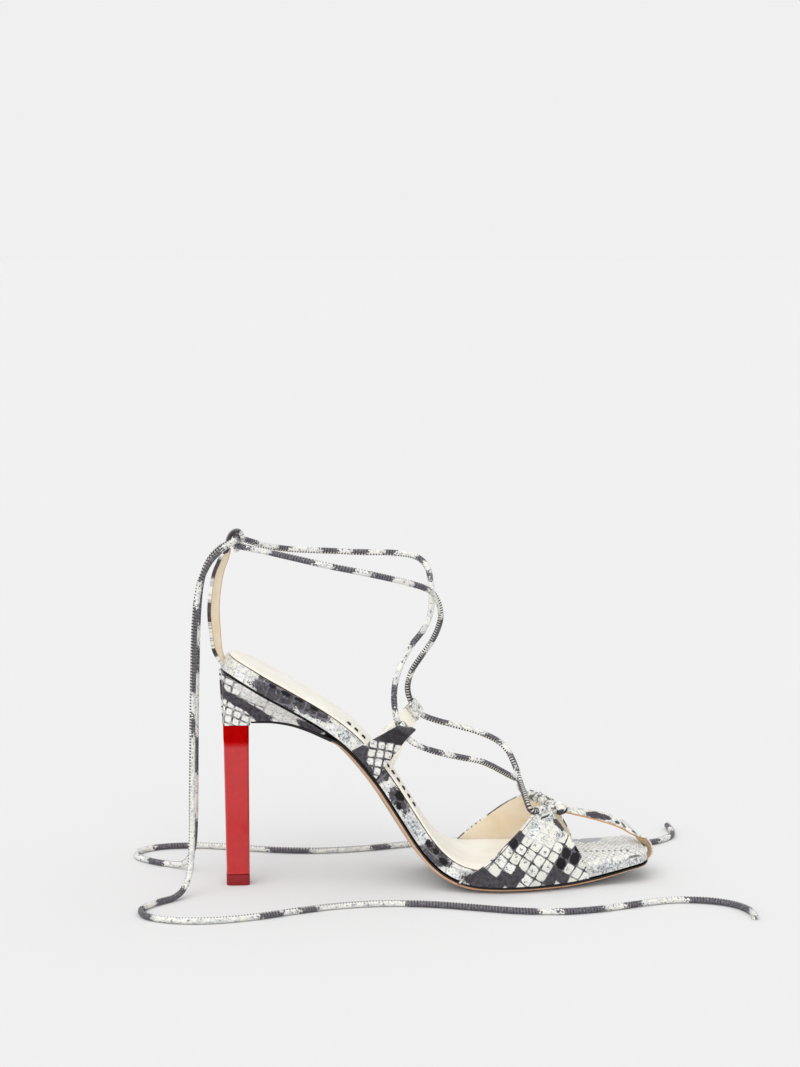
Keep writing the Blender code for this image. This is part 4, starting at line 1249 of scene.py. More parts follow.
# The sole's side under the cup: shares of its half width, and of its thickness below the top
TAIL_SIDE = ((1.0, 0.0), (1.0, 0.3), (0.99, 0.75))
TAIL_UNDER = 0.96
TAIL_CROWN = 0.2
SOLE_DRAFT = 0.15
JOINT_ROWS = 4
UNDER_CUP = 8.0


def sole_tail_lines():
    """Lines across the outsole under the heel cup."""
    lines = []
    for x, top, thick, half in zip(*SOLE_TAIL.values()):
        side = [(x, half * wide, top - thick * down) for wide, down in TAIL_SIDE]
        under = [(x, half * TAIL_UNDER * s, top - thick * (1 - TAIL_CROWN * s**4)) for s in SOLE_SHARES]
        lines.append([(x, -y, z) for x, y, z in side] + under + side[::-1])
    return lines


def sole_lines():
    """Lines across the outsole from its waist to the toe."""
    edges = {side: outline(side) for side in SIDES}
    steps = {side: inward(edges[side], side) for side in SIDES}
    lines = []
    for i, x in enumerate(edges["lateral"][:, 0]):
        if x < WAIST_X:
            continue
        inset = WAIST_INSET * max(0.0, 1 - (x - WAIST_X) / WAIST_RUN)
        thin = max(0.0, (x - TREAD_END) / (SHOE_LENGTH - TREAD_END))
        thick = OUTSOLE_THICKNESS + (OUTSOLE_TOE_THICKNESS - OUTSOLE_THICKNESS) * thin
        top = last("rim", x) + SEAM_GAP
        wall = thick - OUTSOLE_EDGE_RISE
        painted = wall * ease(EDGE_PAINT["x"], EDGE_PAINT["share"], x)
        ends, low = {}, {}
        for side in SIDES:
            ends[side] = []
            for more, depth in ((0.0, 0.0), (0.0, painted), (SOLE_DRAFT, wall)):
                low[side] = edges[side][i] + steps[side][i] * (inset + more)
                ends[side].append(bed(*low[side], top + depth))
        middle = []
        for s in SOLE_SHARES:
            spot = low["lateral"] + (low["medial"] - low["lateral"]) * (s + 1) / 2
            middle.append(bed(*spot, top + thick - OUTSOLE_EDGE_RISE * abs(s) ** 3))
        line = np.array(ends["lateral"] + middle + ends["medial"][::-1])
        line[:, 2] = np.maximum(line[:, 2], 0.0)
        lines.append(line)
    return lines


def make_outsole(tan_leather, black_edge, tread):
    """Tan leather sole with its painted edge, thin under the heel cup."""
    lines = sole_tail_lines() + sole_lines()
    joint = len(SOLE_TAIL["x"]) + JOINT_ROWS
    rings = np.concatenate((rows_between(lines[:joint], EDGE_STEP), np.array(lines[joint:])))
    leather = laid_out(arc(rings[:, rings.shape[1] // 2]), rings[:, :, 1])
    last_column = rings.shape[1] - 1
    tail_rows = np.count_nonzero(rings[:, 0, 0] < WAIST_X - UNDER_CUP)

    def finish_of(row, column):
        painted = column in (0, last_column - 1, last_column)
        under_cup = row < tail_rows and column in (1, last_column - 2)
        underneath = 3 <= column < last_column - 3
        return 1 if painted or under_cup else 2 * underneath

    piece = ringed(
        "outsole_leather", rings, leather, capped=True, finish_of=finish_of,
        finishes=[tan_leather, black_edge, tread],
    )
    smooth(piece, 40)
    finished(piece, "sole_leather", "outsole")


# Heel pieces

CUP_LEVELS = 15
CUP_SAMPLES = 160
CUP_BACK_TURN = (3.0, 60.0)
CUP_BACK_RINGS = 16
CUP_FRONT_RINGS = 22
CUP_STEP = 0.25
CUP_LEAST_HEIGHT = 0.6
CUP_LEAST_WIDTH = 1.2
CUP_TAPER = 0.92
CORNER_SEGMENTS = 6
RIM_SEGMENTS = 3


def make_heel_cup(printed):
    """The covered cup under the heel seat."""
    under_seat = np.linspace(HEEL_BACK, CUP_FRONT_X + HEEL_ROUND, CUP_SAMPLES)
    seat = bed(under_seat, 0.0, last("rim", under_seat) + SEAM_GAP)
    sole_back = SOLE_TAIL["x"][0] - SEAM_GAP
    seat_top = np.interp(0, seat[:, 0], seat[:, 2])
    back = HEEL_ROUND * (1 - np.cos(np.radians(np.linspace(*CUP_BACK_TURN, CUP_BACK_RINGS))))
    back = back[back < sole_back - 2 * CUP_STEP]
    ahead = np.linspace(sole_back, CUP_FRONT_X, CUP_FRONT_RINGS)
    t = np.linspace(0, 1, CUP_LEVELS)
    rings = []
    for x in np.concatenate((back, [sole_back - CUP_STEP], ahead)):
        top = np.interp(x, seat[:, 0], seat[:, 2]) - SEAM_GAP
        low = POST_TOP if x < sole_back else ease(SOLE_TAIL["x"], SOLE_TAIL["top"], x)
        low = min(low + SEAM_GAP, top - CUP_LEAST_HEIGHT)
        narrow = max(float(ease(SOLE_TAIL["x"], SOLE_TAIL["half_width"], x)), CUP_FOOT)
        lean = CUP_BACK_LEAN * max(0.0, 1 - x / sole_back) / (seat_top - POST_TOP)
        z = top + (low - top) * t
        ring = {}
        for side, sign in SIDES.items():
            wide = half_width(side, np.interp(x, seat[:, 0], under_seat)) - SEAM_GAP
            wide = max(float(wide), CUP_LEAST_WIDTH)
            foot = min(narrow, wide * CUP_TAPER)
            y = sign * (foot + (wide - foot) * (1 - t) ** CUP_HOLLOW)
            ring[side] = np.stack((x + lean * (top - z), y, z), axis=1)
        rings.append(np.concatenate((ring["lateral"], ring["medial"][::-1])))
    rings = np.array(rings)
    at = CUP_LEVELS // 3
    run = arc(rings[:, at, :]) + np.abs(rings[0, at, 1])
    sign = np.where(np.arange(rings.shape[1]) < CUP_LEVELS, -1.0, 1.0)
    leather = np.stack((run[:, None] * sign[None, :], rings[:, :, 2]), axis=-1)
    piece = ringed("heel_cup_cover", rings, leather, capped=True, finishes=[printed])
    smooth(piece, 45)
    finished(piece, "print_leather", "heel_cup")


def block(name, low, high, foot, head, corner, rim):
    """A slim post between two heights: a cube, tapered, with its corners and rims rounded."""
    piece = added(name, bpy.ops.mesh.primitive_cube_add, size=1)
    for vertex in piece.data.vertices:
        shape = head if vertex.co.z > 0 else foot
        x = shape["front"] if vertex.co.x > 0 else shape["back"]
        y = math.copysign(shape["half_width"], vertex.co.y)
        vertex.co = place((x, y, high if vertex.co.z > 0 else low))
    bevel_edges(piece, corner, CORNER_SEGMENTS, upright=True)
    bevel_edges(piece, rim, RIM_SEGMENTS, upright=False)
    in_edit(piece, face_out)
    smooth(piece, 35)
    return piece


def bevel_edges(piece, width, segments, upright):
    """Rounds the upright edges of a block, or those of its two ends."""
    choose(piece)
    bpy.ops.object.mode_set(mode="EDIT")
    bpy.ops.mesh.select_mode(type="EDGE")
    bpy.ops.mesh.select_all(action="DESELECT")
    bpy.ops.object.mode_set(mode="OBJECT")
    for edge in piece.data.edges:
        heights = [piece.data.vertices[k].co.z for k in edge.vertices]
        edge.select = (abs(heights[0] - heights[1]) > MM) == upright
    bpy.ops.object.mode_set(mode="EDIT")
    bpy.ops.mesh.bevel(offset=width * MM, segments=segments)
    bpy.ops.object.mode_set(mode="OBJECT")


def make_heel_post():
    """The lacquered post, in bands from the glossy body to the shaded head, and its rubber tip."""
    low = TIP_HEIGHT + SEAM_GAP
    post = block("heel_post_lacquer", low, POST_TOP, POST_FOOT, POST_HEAD, POST_CORNER, POST_RIM)
    fade = np.linspace(-0.5, 0.5, POST_HEAD_STEPS + 1) * POST_HEAD_FADE
    levels = (POST_TOP - POST_HEAD_BAND + fade) * MM
    for k, level in enumerate(levels):
        dress(post, lacquer(f"heel_lacquer_{k}", k / len(levels)))
        in_edit(post, lambda: bpy.ops.mesh.bisect(plane_co=(0, 0, level), plane_no=(0, 0, 1)))
    dress(post, lacquer("heel_lacquer_head", 1.0))
    for face in post.data.polygons:
        face.material_index = int(np.searchsorted(levels, face.center.z))
    finished(post, "heel_lacquer", "heel_post")
    tip = block("heel_tip_rubber", 0.0, TIP_HEIGHT, POST_FOOT, POST_FOOT, POST_CORNER, TIP_RIM)
    dress(tip, plain_rubber("tip_rubber"))
    finished(tip, "tip_rubber", "heel_tip")


# Upper pieces

PANEL_ROWS = 44
PANEL_COLUMNS = 48
PANEL_FACES_UP = 0.4
PANEL_EDGE_ROUND = 0.4
PANEL_FOOT_LIFT = 0.1
PANEL_FOOT_RUN = 1.4
FOLD_FADE = 0.8

# Soft troughs on the panels: from x and up, to x and up, width and depth
LATERAL_FOLDS = (
    (152.5, 37.0, 147.0, 24.0, 1.7, 0.45),
    (155.5, 37.5, 152.5, 23.0, 1.6, 0.5),
    (158.0, 37.0, 160.0, 26.0, 1.5, 0.4),
)
MEDIAL_FOLDS = (
    (152.5, 39.0, 147.5, 27.0, 1.7, 0.45),
    (156.5, 40.0, 155.5, 26.0, 1.6, 0.45),
    (160.0, 39.0, 164.0, 27.0, 1.5, 0.4),
)


def fold_depth(leather, folds):
    """Depth of soft troughs along straight lines on the leather."""
    depth = np.zeros(leather.shape[:2])
    for x0, y0, x1, y1, width, deep in folds:
        line = np.array((x1 - x0, y1 - y0))
        along = np.clip(((leather - (x0, y0)) @ line) / (line @ line), 0, 1)
        away = np.linalg.norm(leather - (np.array((x0, y0)) + along[..., None] * line), axis=-1)
        depth += deep * np.exp(-((away / width) ** 2)) * (1 - FOLD_FADE * along)
    return depth


def make_panel(name, table, side, folds, finishes):
    """One side of the vamp, from the sole's edge up to its gathered top."""
    sign = SIDES[side]
    outward = (0, sign, PANEL_FACES_UP)
    level = np.arange(len(table["back_x"]))
    height = np.linspace(0, level[-1], PANEL_ROWS)
    shares = np.linspace(0, 1, PANEL_COLUMNS)[None, :]
    edge = {column: ease(level, values, height)[:, None] for column, values in table.items()}
    x, z, reach = (
        edge["back_" + c] + (edge["front_" + c] - edge["back_" + c]) * shares for c in ("x", "z", "reach")
    )
    sole_line = last("bed", x) - last("rim", x) * bed_normal(x)[..., 2] + PANEL_FOOT_LIFT
    z = z - np.maximum(z - sole_line, 0) * np.clip(1 - PANEL_FOOT_RUN * height, 0, 1)[:, None]
    grid = np.stack((x, sign * (half_width_beside(side, x, z) * reach + SEAM_GAP), z), axis=-1)
    leather = np.stack((x, arc(grid[..., 1:])), axis=-1)
    outer = offset_grid(grid, np.full(x.shape, STRAP_THICKNESS), outward)
    outer = offset_grid(outer, -fold_depth(leather, folds), outward)
    from_back = np.swapaxes(arc(np.swapaxes(grid, 0, 1)), 0, 1)
    if sign > 0:
        outer, leather, from_back = outer[:, ::-1], leather[:, ::-1], from_back[:, ::-1]
    piece = shaped_grid(name, outer, leather, from_back / EDGE_REACH)
    walled(piece, STRAP_THICKNESS, PANEL_EDGE_ROUND, *finishes)
    finished(piece, "print_leather", "vamp")


GATHER_SIDES = 28
GATHER_STEP = 0.3

# Waves along a gather: their pitch, and how they swing as they go round it
GATHER_PLEATS = {"pitch": 4.4, "swing": 1.1, "times": 2, "start": 0.4}
GATHER_WRINKLES = {"pitch": 1.9, "swing": 2.1, "times": 3, "start": 0.6}
GATHER_UNEVEN = {"by": 0.8, "beat": 0.95, "start": 0.6}
WRINKLE_DEPTH = 0.04
PLEAT_SHADE = {"from": -0.45, "depth": -10.0}

# The mouth of a gather: its rows of lining, the room round the lace and the rounding of its lip
MOUTH_ROWS = 10
MOUTH_ROOM = 0.25
MOUTH_LIP = 0.84
MOUTH_RUN = 0.9


def waves(along, around, wave):
    """Heights of waves, a row for each place along and a column for each angle around."""
    swing = wave["swing"] * np.sin(wave["times"] * around + wave["start"])
    return np.sin(2 * math.pi * along[:, None] / wave["pitch"] + swing[None, :])


def make_gather(side, route, printed):
    """The gathered tunnel on top of a panel, with the lace coming out of its mouth."""
    path = flowing(route, GATHER_STEP)
    run = arc(path)
    angles = round_turn(GATHER_SIDES)
    uneven = run + GATHER_UNEVEN["by"] * np.sin(GATHER_UNEVEN["beat"] * run + GATHER_UNEVEN["start"])
    pleats = PLEAT_DEPTH[side] * waves(uneven, angles, GATHER_PLEATS)
    lip = MOUTH_LIP + (1 - MOUTH_LIP) * np.sqrt(np.clip(run / MOUTH_RUN, 0, 1))
    radius = 1 + pleats + WRINKLE_DEPTH * waves(run, angles, GATHER_WRINKLES)
    rings = tube_rings(path, ROLL_RADIUS[side] * radius * lip[:, None], GATHER_SIDES)
    inside = tube_rings(path[:MOUTH_ROWS], CORD_DIAMETER / 2 + MOUTH_ROOM, GATHER_SIDES)[::-1]
    # The mouth's rows count as deepest in a crease, and the pleats' troughs by their depth, for the painted
    # crease shade
    shade = PLEAT_SHADE["from"] + PLEAT_SHADE["depth"] * pleats
    creases = np.concatenate((np.ones((MOUTH_ROWS, GATHER_SIDES)), shade))
    around = np.arange(GATHER_SIDES + 1) / GATHER_SIDES * 2 * math.pi * ROLL_RADIUS[side]
    leather = laid_out(np.concatenate((-run[:MOUTH_ROWS][::-1], run)), around)
    piece = ringed(
        "gather_" + side, np.concatenate((inside, rings)), leather, capped=True, creases=creases,
        finishes=[printed],
    )
    smooth(piece, 70)
    finished(piece, "print_leather", "vamp")


KNOT_SIZE = (3.6, 3.7, 3.3)
KNOT_FOLD = {"at": 0.8, "width": 0.07, "depth": 0.07, "fade": 4.0, "shade": 0.6}


def make_knot(printed):
    """The toe strap's end, wrapped round the bend of the lace, with a fold over its top."""
    piece = added("toe_knot", bpy.ops.mesh.primitive_uv_sphere_add, segments=64, ring_count=40, radius=1)
    spots = np.array([v.co for v in piece.data.vertices])
    away = np.hypot(spots[:, 0], spots[:, 2])
    fold = np.exp(-(((away - KNOT_FOLD["at"]) / KNOT_FOLD["width"]) ** 2))
    fold *= np.clip(1.0 + KNOT_FOLD["fade"] * spots[:, 2], 0, 1)
    sized = spots * KNOT_SIZE
    put(piece, np.array(KNOT_CENTRE) + sized * (1.0 - KNOT_FOLD["depth"] * fold)[:, None], sized[:, ::2])
    mark_creases(piece, KNOT_FOLD["shade"] * fold)
    dress(piece, printed)
    smooth(piece, 80)
    finished(piece, "print_leather", "vamp")


STRIP_COLUMNS = 13
STRIP_EDGE_ROUND = 0.3


def strip(name, path, across, width, thickness, crown, finishes):
    """A strap along a path of its outer face: slightly crowned, lined inside, with cut edges."""
    shares = np.linspace(-1, 1, STRIP_COLUMNS)
    out = shares[None, :] * np.broadcast_to(width, len(path))[:, None] / 2
    normals = unit(np.cross(across, np.gradient(path, axis=0)))
    grid = path[:, None, :] + across[:, None, :] * out[..., None]
    grid = grid + normals[:, None, :] * (crown * (1 - shares**2))[None, :, None]
    creases = np.broadcast_to(np.abs(shares), out.shape)
    piece = shaped_grid(name, grid, laid_out(arc(path), out), creases)
    return walled(piece, thickness, STRIP_EDGE_ROUND, *finishes)


TOE_STRAP_STEP = 0.9
TOE_STRAP_CROWN = 0.35
TOE_STRAP_ROLL = columns(
    ("run", "degrees"),
    (0, 8), (10, 20), (24, 30), (39, 20), (47, -28), (50, -18), (54, 0),
)
TOE_STRAP_TAPER = columns(("run", "share"), (0, 0.72), (12, 0.8), (40, 1.0))


def make_toe_strap(printed, lining, cut_edge):
    """The strap from the knot to the toe: printed leather on a thin lining with a cut edge."""
    path = flowing(TOE_STRAP, TOE_STRAP_STEP)
    run = arc(path)
    roll = np.radians(np.interp(run, *TOE_STRAP_ROLL.values()))[:, None]
    sideways = np.array((0.0, -1.0, 0.0))
    normal = np.cross(sideways, headings(path))
    across = np.cos(roll) * sideways - np.sin(roll) * normal
    width = TOE_STRAP_WIDTH * np.interp(run, *TOE_STRAP_TAPER.values())
    layers = (
        ("toe_strap", STRAP_THICKNESS, TOE_STRAP_WALL, (printed, printed, printed)),
        ("toe_strap_lining", STRAP_THICKNESS - TOE_STRAP_WALL, TOE_LINING_WALL, (lining, lining, cut_edge)),
    )
    for name, rise, wall, finishes in layers:
        piece = strip(name, path + normal * rise, across, width, wall, TOE_STRAP_CROWN, finishes)
        finished(piece, "print_leather", "vamp")


# A tab's sheet, out from its middle line: at shares of its length below the tunnel, at millimetres
# below it, round the tunnel, and at shares of the flap's length back down inside
TAB_LEAF = ((1.0, 1.5), (0.75, 2.1), (0.5, 2.3))
TAB_NECK = ((6.5, 2.0), (3.4, 2.25))
TAB_FOLD_TURN = (-25.0, 205.0)
TAB_FOLD_POINTS = 22
TAB_FLAP = ((0.0, -1.9), (0.5, 0.1), (1.0, 0.75))
TAB_STEP = 0.7
TAB_COLUMNS = 15
TAB_BASE = 1.0
TAB_EDGE_ROUND = 0.3
SLACK_GROWTH = 1.4


def tab_profile(length, flap_length):
    """How far a tab's sheet lies beyond the tunnel and outwards, from its base to the flap's end."""
    turns = np.radians(np.linspace(*TAB_FOLD_TURN, TAB_FOLD_POINTS))
    profile = [(-length * share, out) for share, out in TAB_LEAF]
    profile += [(-below, out) for below, out in TAB_NECK]
    profile += [(TUNNEL_RADIUS * math.sin(a), TUNNEL_RADIUS * math.cos(a)) for a in turns]
    profile += [(-TAB_NECK[-1][0] - flap_length * share, out) for share, out in TAB_FLAP]
    return flowing([(beyond, out, 0.0) for beyond, out in profile], TAB_STEP)


def make_tab(tab, finishes):
    """A tapered tab up from the rim, folded over the lace at its end."""
    side = tab["side"]
    sign = SIDES[side]
    axis = unit(tab["tunnel_axis"])
    centre = np.array(tab["tunnel"])
    ends = []
    for x in (tab["base_back_x"], tab["base_front_x"]):
        out = sign * (float(half_width(side, x)) + SEAM_GAP)
        foot = bed(x, out, last("rim", x) - TAB_BASE)
        ends.append(np.array((foot[0], out, foot[2])))
    toward = centre - (ends[0] + ends[1]) / 2
    length = np.linalg.norm(toward)
    toward = toward / length
    outward = unit(np.cross(toward, axis))
    outward = outward * np.sign(outward[1] * sign)
    shares = np.linspace(0, 1, TAB_COLUMNS)[:, None]
    base = ends[0] + (ends[1] - ends[0]) * shares
    top = centre + axis * ((0.5 - shares) * TUNNEL_LENGTH)
    slack = 1 + tab["loose"] * shares**SLACK_GROWTH
    profile = tab_profile(length, tab["flap"])
    grid, flat = [], []
    for (beyond, out, _), run in zip(profile, arc(profile)):
        row = base + (top - base) * min(1.0, (length + beyond) / length)
        wide = np.linalg.norm(row[-1] - row[0])
        grid.append(row + toward * max(beyond, 0.0) * slack + outward * out)
        flat.append(np.concatenate(((shares - 0.5) * wide, np.full(shares.shape, run)), axis=1))
    grid, flat = np.array(grid), np.array(flat)
    facing = np.cross(grid[3, 1] - grid[3, 0], grid[4, 0] - grid[3, 0]) @ outward
    if facing < 0:
        grid, flat = grid[:, ::-1], flat[:, ::-1]
    piece = shaped_grid("tab_" + side, grid, flat)
    walled(piece, LEAF_THICKNESS, TAB_EDGE_ROUND, *finishes)
    finished(piece, "print_leather", "instep_tab_" + side)


HEEL_STRAP_ROWS = 15
HEEL_STRAP_STEP = 0.8
HEEL_STRAP_CROWN = 0.3
HEEL_STRAP_END = 2.2
HEEL_LOOP_TURN = (215.0, -75.0)
HEEL_LOOP_POINTS = 40
HEEL_LOOP_WALL = 0.65
HEEL_LOOP_WIDTH = 7.2
HEEL_LOOP_START = 2.0
WIDTH_BLEND = 13


def make_heel_strap(finishes):
    """The flat strap up the back of the heel, folded into a loop round the laces."""
    z = np.linspace(HEEL_STRAP["z"][0], HEEL_STRAP["z"][-1] - HEEL_STRAP_END, 4 * HEEL_STRAP_ROWS)
    x = ease(HEEL_STRAP["z"], HEEL_STRAP["x"], z) - HEEL_STRAP_THICKNESS
    up = unit(HEEL_LOOP_UP)
    beside = np.array((up[2], 0.0, -up[0]))
    turn = np.radians(np.linspace(*HEEL_LOOP_TURN, HEEL_LOOP_POINTS))[:, None]
    wide, high = np.array(HEEL_LOOP_REACH) + HEEL_LOOP_WALL
    loop = np.array(HEEL_LOOP_CENTRE) + np.cos(turn) * beside * wide + np.sin(turn) * up * high
    straight = np.stack((x, np.zeros(len(z)), z), axis=1)
    path = flowing(np.concatenate((straight[::4], loop[::2])), HEEL_STRAP_STEP)
    height = np.minimum(path[:, 2], HEEL_STRAP["z"][-1])
    in_loop = arc(path) > arc(straight)[-1] + HEEL_LOOP_START
    twist = np.radians(ease(HEEL_STRAP["z"], HEEL_STRAP["twist"], height))
    twist = np.where(in_loop, 0.0, twist)
    across = -np.stack((np.sin(twist), np.cos(twist), np.zeros(len(path))), axis=1)
    width = np.pad(np.where(in_loop, HEEL_LOOP_WIDTH, HEEL_STRAP_WIDTH), WIDTH_BLEND // 2, mode="edge")
    width = np.convolve(width, np.ones(WIDTH_BLEND) / WIDTH_BLEND, mode="valid")
    piece = strip("heel_strap_leather", path, across, width, HEEL_STRAP_WALL, HEEL_STRAP_CROWN, finishes)
    finished(piece, "print_leather", "heel_strap")


# Stitches

# Rows of stitches: from x, to x, and how many
SOCK_STITCHES = ((60.6, 67.4, 3), (79.0, 91.5, 6))
STITCH_SIZE = (1.3, 1.1, 0.7)
STITCH_INSET = 6.2
STITCH_LEAN = 0.25
STITCH_ROUND = 0.7


def make_stitches(black_thread):
    """Short stitches through the sock that hold the lateral tab."""
    made = []
    for start, end, count in SOCK_STITCHES:
        for x in np.linspace(start, end, count):
            y = STITCH_INSET - float(half_width("lateral", x))
            made.append(stitch(x, y, SOCK_EDGE[-1][1] - sock_rise(STITCH_INSET - SOCK_EDGE[-1][0])))
    choose(made[0])
    for piece in made:
        piece.select_set(True)
    bpy.ops.object.join()
    piece = named(bpy.context.object, "sock_stitches")
    dress(piece, black_thread)
    smooth(piece, 60)
    finished(piece, "sock_leather")


def stitch(x, y, depth):
    """One short bar of thread on the sock."""
    piece = added("stitch", bpy.ops.mesh.primitive_uv_sphere_add, segments=12, ring_count=8, radius=1)
    ahead = unit(bed(x + 0.5, y, depth) - bed(x - 0.5, y, depth))
    up = unit(bed_normal(np.array(x)) - np.array((0.0, STITCH_LEAN, 0.0)))
    beside = np.cross(up, ahead)
    spots = np.array([v.co for v in piece.data.vertices])
    spots = np.sign(spots) * np.abs(spots) ** STITCH_ROUND * STITCH_SIZE
    put(piece, bed(x, y, depth) + spots[:, :1] * ahead + spots[:, 1:2] * beside + spots[:, 2:] * up)
    return piece


# Rows of the print: pitch, turn, the middle of one scale and the gap between scales

PANEL_SCALES = {"pitch": (5.05, 5.05), "turn": 36.0, "start": (133.5, 12.6), "gap": 0.42}
RIM_SCALES = {"pitch": (6.5, 6.5), "turn": 8.0, "start": (-41.5, 4.0), "gap": 0.48}
CUP_SCALES = {"pitch": (5.0, 3.75), "turn": -20.0, "start": (-11.9, 85.9), "gap": 0.75}
GATHER_SCALES = {"pitch": (3.2, 3.2), "turn": 30.0, "start": (0.0, 0.0), "gap": 0.5}
STRAP_SCALES = {"pitch": (4.6, 4.6), "turn": 40.0, "start": (0.0, 0.0), "gap": 0.55}
TAB_SCALES = {"pitch": (4.15, 4.15), "turn": 50.0, "start": (0.9, 9.7), "gap": 0.6}
TOE_SCALE_SIZE = (2.85, 5.0)
TOE_STRETCH = (1 / TOE_SCALE_SIZE[0], 1 / TOE_SCALE_SIZE[1], 1.0)
TOE_SCALES = {"pitch": (0.707, 0.707), "turn": 45.0, "start": (82.7, 0.0), "gap": 0.1}

# Patches of the print: along and up the leather, their reach both ways, and their turn

PANEL_CHARCOAL = (
    (128.5, 3.5, 14.5, 4.4, 3.0),
    (133.5, 5.5, 4.0, 3.0, 0.0),
    (160.3, 4.5, 5.2, 3.6, 10.0),
    (139.5, 21.5, 6.0, 1.6, 42.0),
)
PANEL_INK = (
    (165.8, 14.1, 2.0, 2.0, 0.0),
    (162.8, 10.0, 2.0, 2.0, 0.0),
    (171.5, 12.5, 4.6, 2.9, 40.0),
    (139.2, 20.5, 3.4, 1.6, 40.0),
)
PANEL_FADED = ((156.0, 28.0, 11.0, 9.0, 0.0),)
PANEL_TORN = ((163.2, 28.2, 5.2, 1.4, -62.0), (157.5, 35.5, 2.2, 0.9, 0.0))
PANEL_BLUISH = ((151.0, 31.0, 2.6, 1.6, 30.0), (160.0, 33.0, 4.5, 2.2, -20.0), (163.5, 22.0, 2.2, 1.4, 0.0))
RIM_CHARCOAL = (
    (-43.0, 4.5, 13.0, 8.0, 0.0),
    (-60.0, 6.2, 11.0, 4.2, 0.0),
    (-124.0, 4.5, 6.5, 4.0, 0.0),
    (-110.0, 4.5, 3.0, 5.0, 0.0),
    (-155.5, 4.2, 8.0, 5.0, -10.0),
    (-184.0, 4.0, 12.0, 7.0, 0.0),
    (44.0, 4.0, 15.0, 8.0, 0.0),
    (96.0, 4.5, 7.0, 5.0, 0.0),
    (132.0, 4.0, 9.0, 6.0, 0.0),
    (170.0, 4.0, 12.0, 6.0, 0.0),
)
RIM_INK = (
    (-39.2, 6.5, 2.0, 1.0, 0.0),
    (-46.6, 6.7, 2.7, 1.0, 0.0),
    (-53.6, 7.0, 2.6, 0.9, 0.0),
    (-62.0, 6.8, 2.8, 0.9, 0.0),
    (-123.2, 5.6, 2.6, 2.2, 0.0),
    (-127.3, 2.5, 1.8, 1.5, 0.0),
    (-149.5, 5.4, 2.0, 1.5, 0.0),
    (-154.5, 5.6, 2.0, 1.5, 0.0),
    (-160.0, 4.6, 2.3, 1.6, 0.0),
)
RIM_BLUISH = (
    (-82.5, 4.0, 3.4, 2.6, 30.0),
    (-100.0, 4.0, 6.0, 3.0, 0.0),
    (-139.0, 3.6, 8.0, 3.4, 0.0),
    (-174.0, 3.0, 5.0, 3.0, 0.0),
    (-242.0, 3.0, 9.0, 3.4, 0.0),
    (-258.0, 3.0, 7.0, 2.6, 0.0),
    (80.0, 4.0, 8.0, 3.0, 0.0),
    (240.0, 3.0, 14.0, 3.0, 0.0),
)
CUP_CHARCOAL = (
    (-19.5, 89.8, 17.0, 2.6, 27.0),
    (-26.0, 86.2, 8.0, 2.8, 30.0),
    (-5.0, 96.4, 5.6, 4.4, 30.0),
    (-30.5, 82.6, 4.0, 3.4, 40.0),
    (-55.0, 79.6, 7.5, 3.2, 25.0),
)
CUP_FADED = ((-24.0, 95.6, 9.0, 3.6, 27.0), (-41.0, 86.5, 11.0, 5.0, 27.0))
TAB_CHARCOAL = ((-2.9, 19.4, 14.0, 4.0, 32.0), (3.8, 26.0, 3.4, 5.0, 0.0), (-6.5, 1.6, 6.0, 3.6, 0.0))
TAB_DEEP = ((0.5, 20.5, 9.0, 4.5, 32.0),)
TAB_TORN = ((1.0, 0.3, 5.0, 2.0, 0.0),)
FOLD_CHARCOAL = ((-3.0, 33.0, 3.0, 2.5, 0.0), (3.5, 38.0, 3.0, 1.5, 0.0))
STRAP_CHARCOAL = (
    (21.5, 1.0, 6.5, 2.4, 0.0),
    (31.4, 1.8, 1.5, 1.0, 0.0),
    (35.0, 1.6, 2.0, 0.8, 45.0),
    (41.4, 1.8, 1.2, 1.0, 0.0),
    (45.0, 1.4, 1.6, 0.9, 45.0),
    (51.0, 0.5, 1.6, 1.2, 30.0),
)
HEEL_CHARCOAL = (
    (8.0, 0.0, 3.0, 6.0, 0.0),
    (28.0, 0.0, 6.5, 9.0, 0.0),
    (50.0, 0.0, 6.0, 9.0, 0.0),
    (66.0, 0.0, 9.0, 9.0, 0.0),
)
# Painted shade on the knot: its lower half darkened in charcoal and blue-grey, and painted shadows at its
# foot and where the strap comes out from under it
KNOT_LOWER_SHADE = ((-0.3, -1.5, 2.7, 1.8, 0.0),)
KNOT_SHADOWS = ((2.6, -0.8, 0.8, 1.5, -25.0), (-0.6, -3.0, 1.3, 0.5, 0.0))
KNOT_BLUE_SHADE = ((-0.2, -1.2, 2.6, 1.5, 0.0),)
TOE_DOT = {"start": (235.7, -3.0), "drop": 1.3, "reach": (0.6, 1.9), "count": 8}
TOE_DOTS = tuple(
    (along, TOE_DOT["start"][1] - TOE_DOT["drop"] * k, *TOE_DOT["reach"], 0.0)
    for k, along in enumerate(
        TOE_DOT["start"][0] + TOE_SCALE_SIZE[0] * np.arange(TOE_DOT["count"])
    )
)
# Painted shadow: a dark line along the toe sock's front edge, where the rim shades the gap between them
TOE_EDGE_SHADOW = ((258.4, -18.5, 4.6, 1.0, 10.0),)
TOE_SHADE = ((240.0, 21.0, 9.0, 6.0, -20.0), (231.0, 22.0, 6.0, 4.0, 0.0))


def mirrored(patches):
    """Patches on both sides of the middle."""
    return patches + tuple((-along, up, reach, high, -turn) for along, up, reach, high, turn in patches)


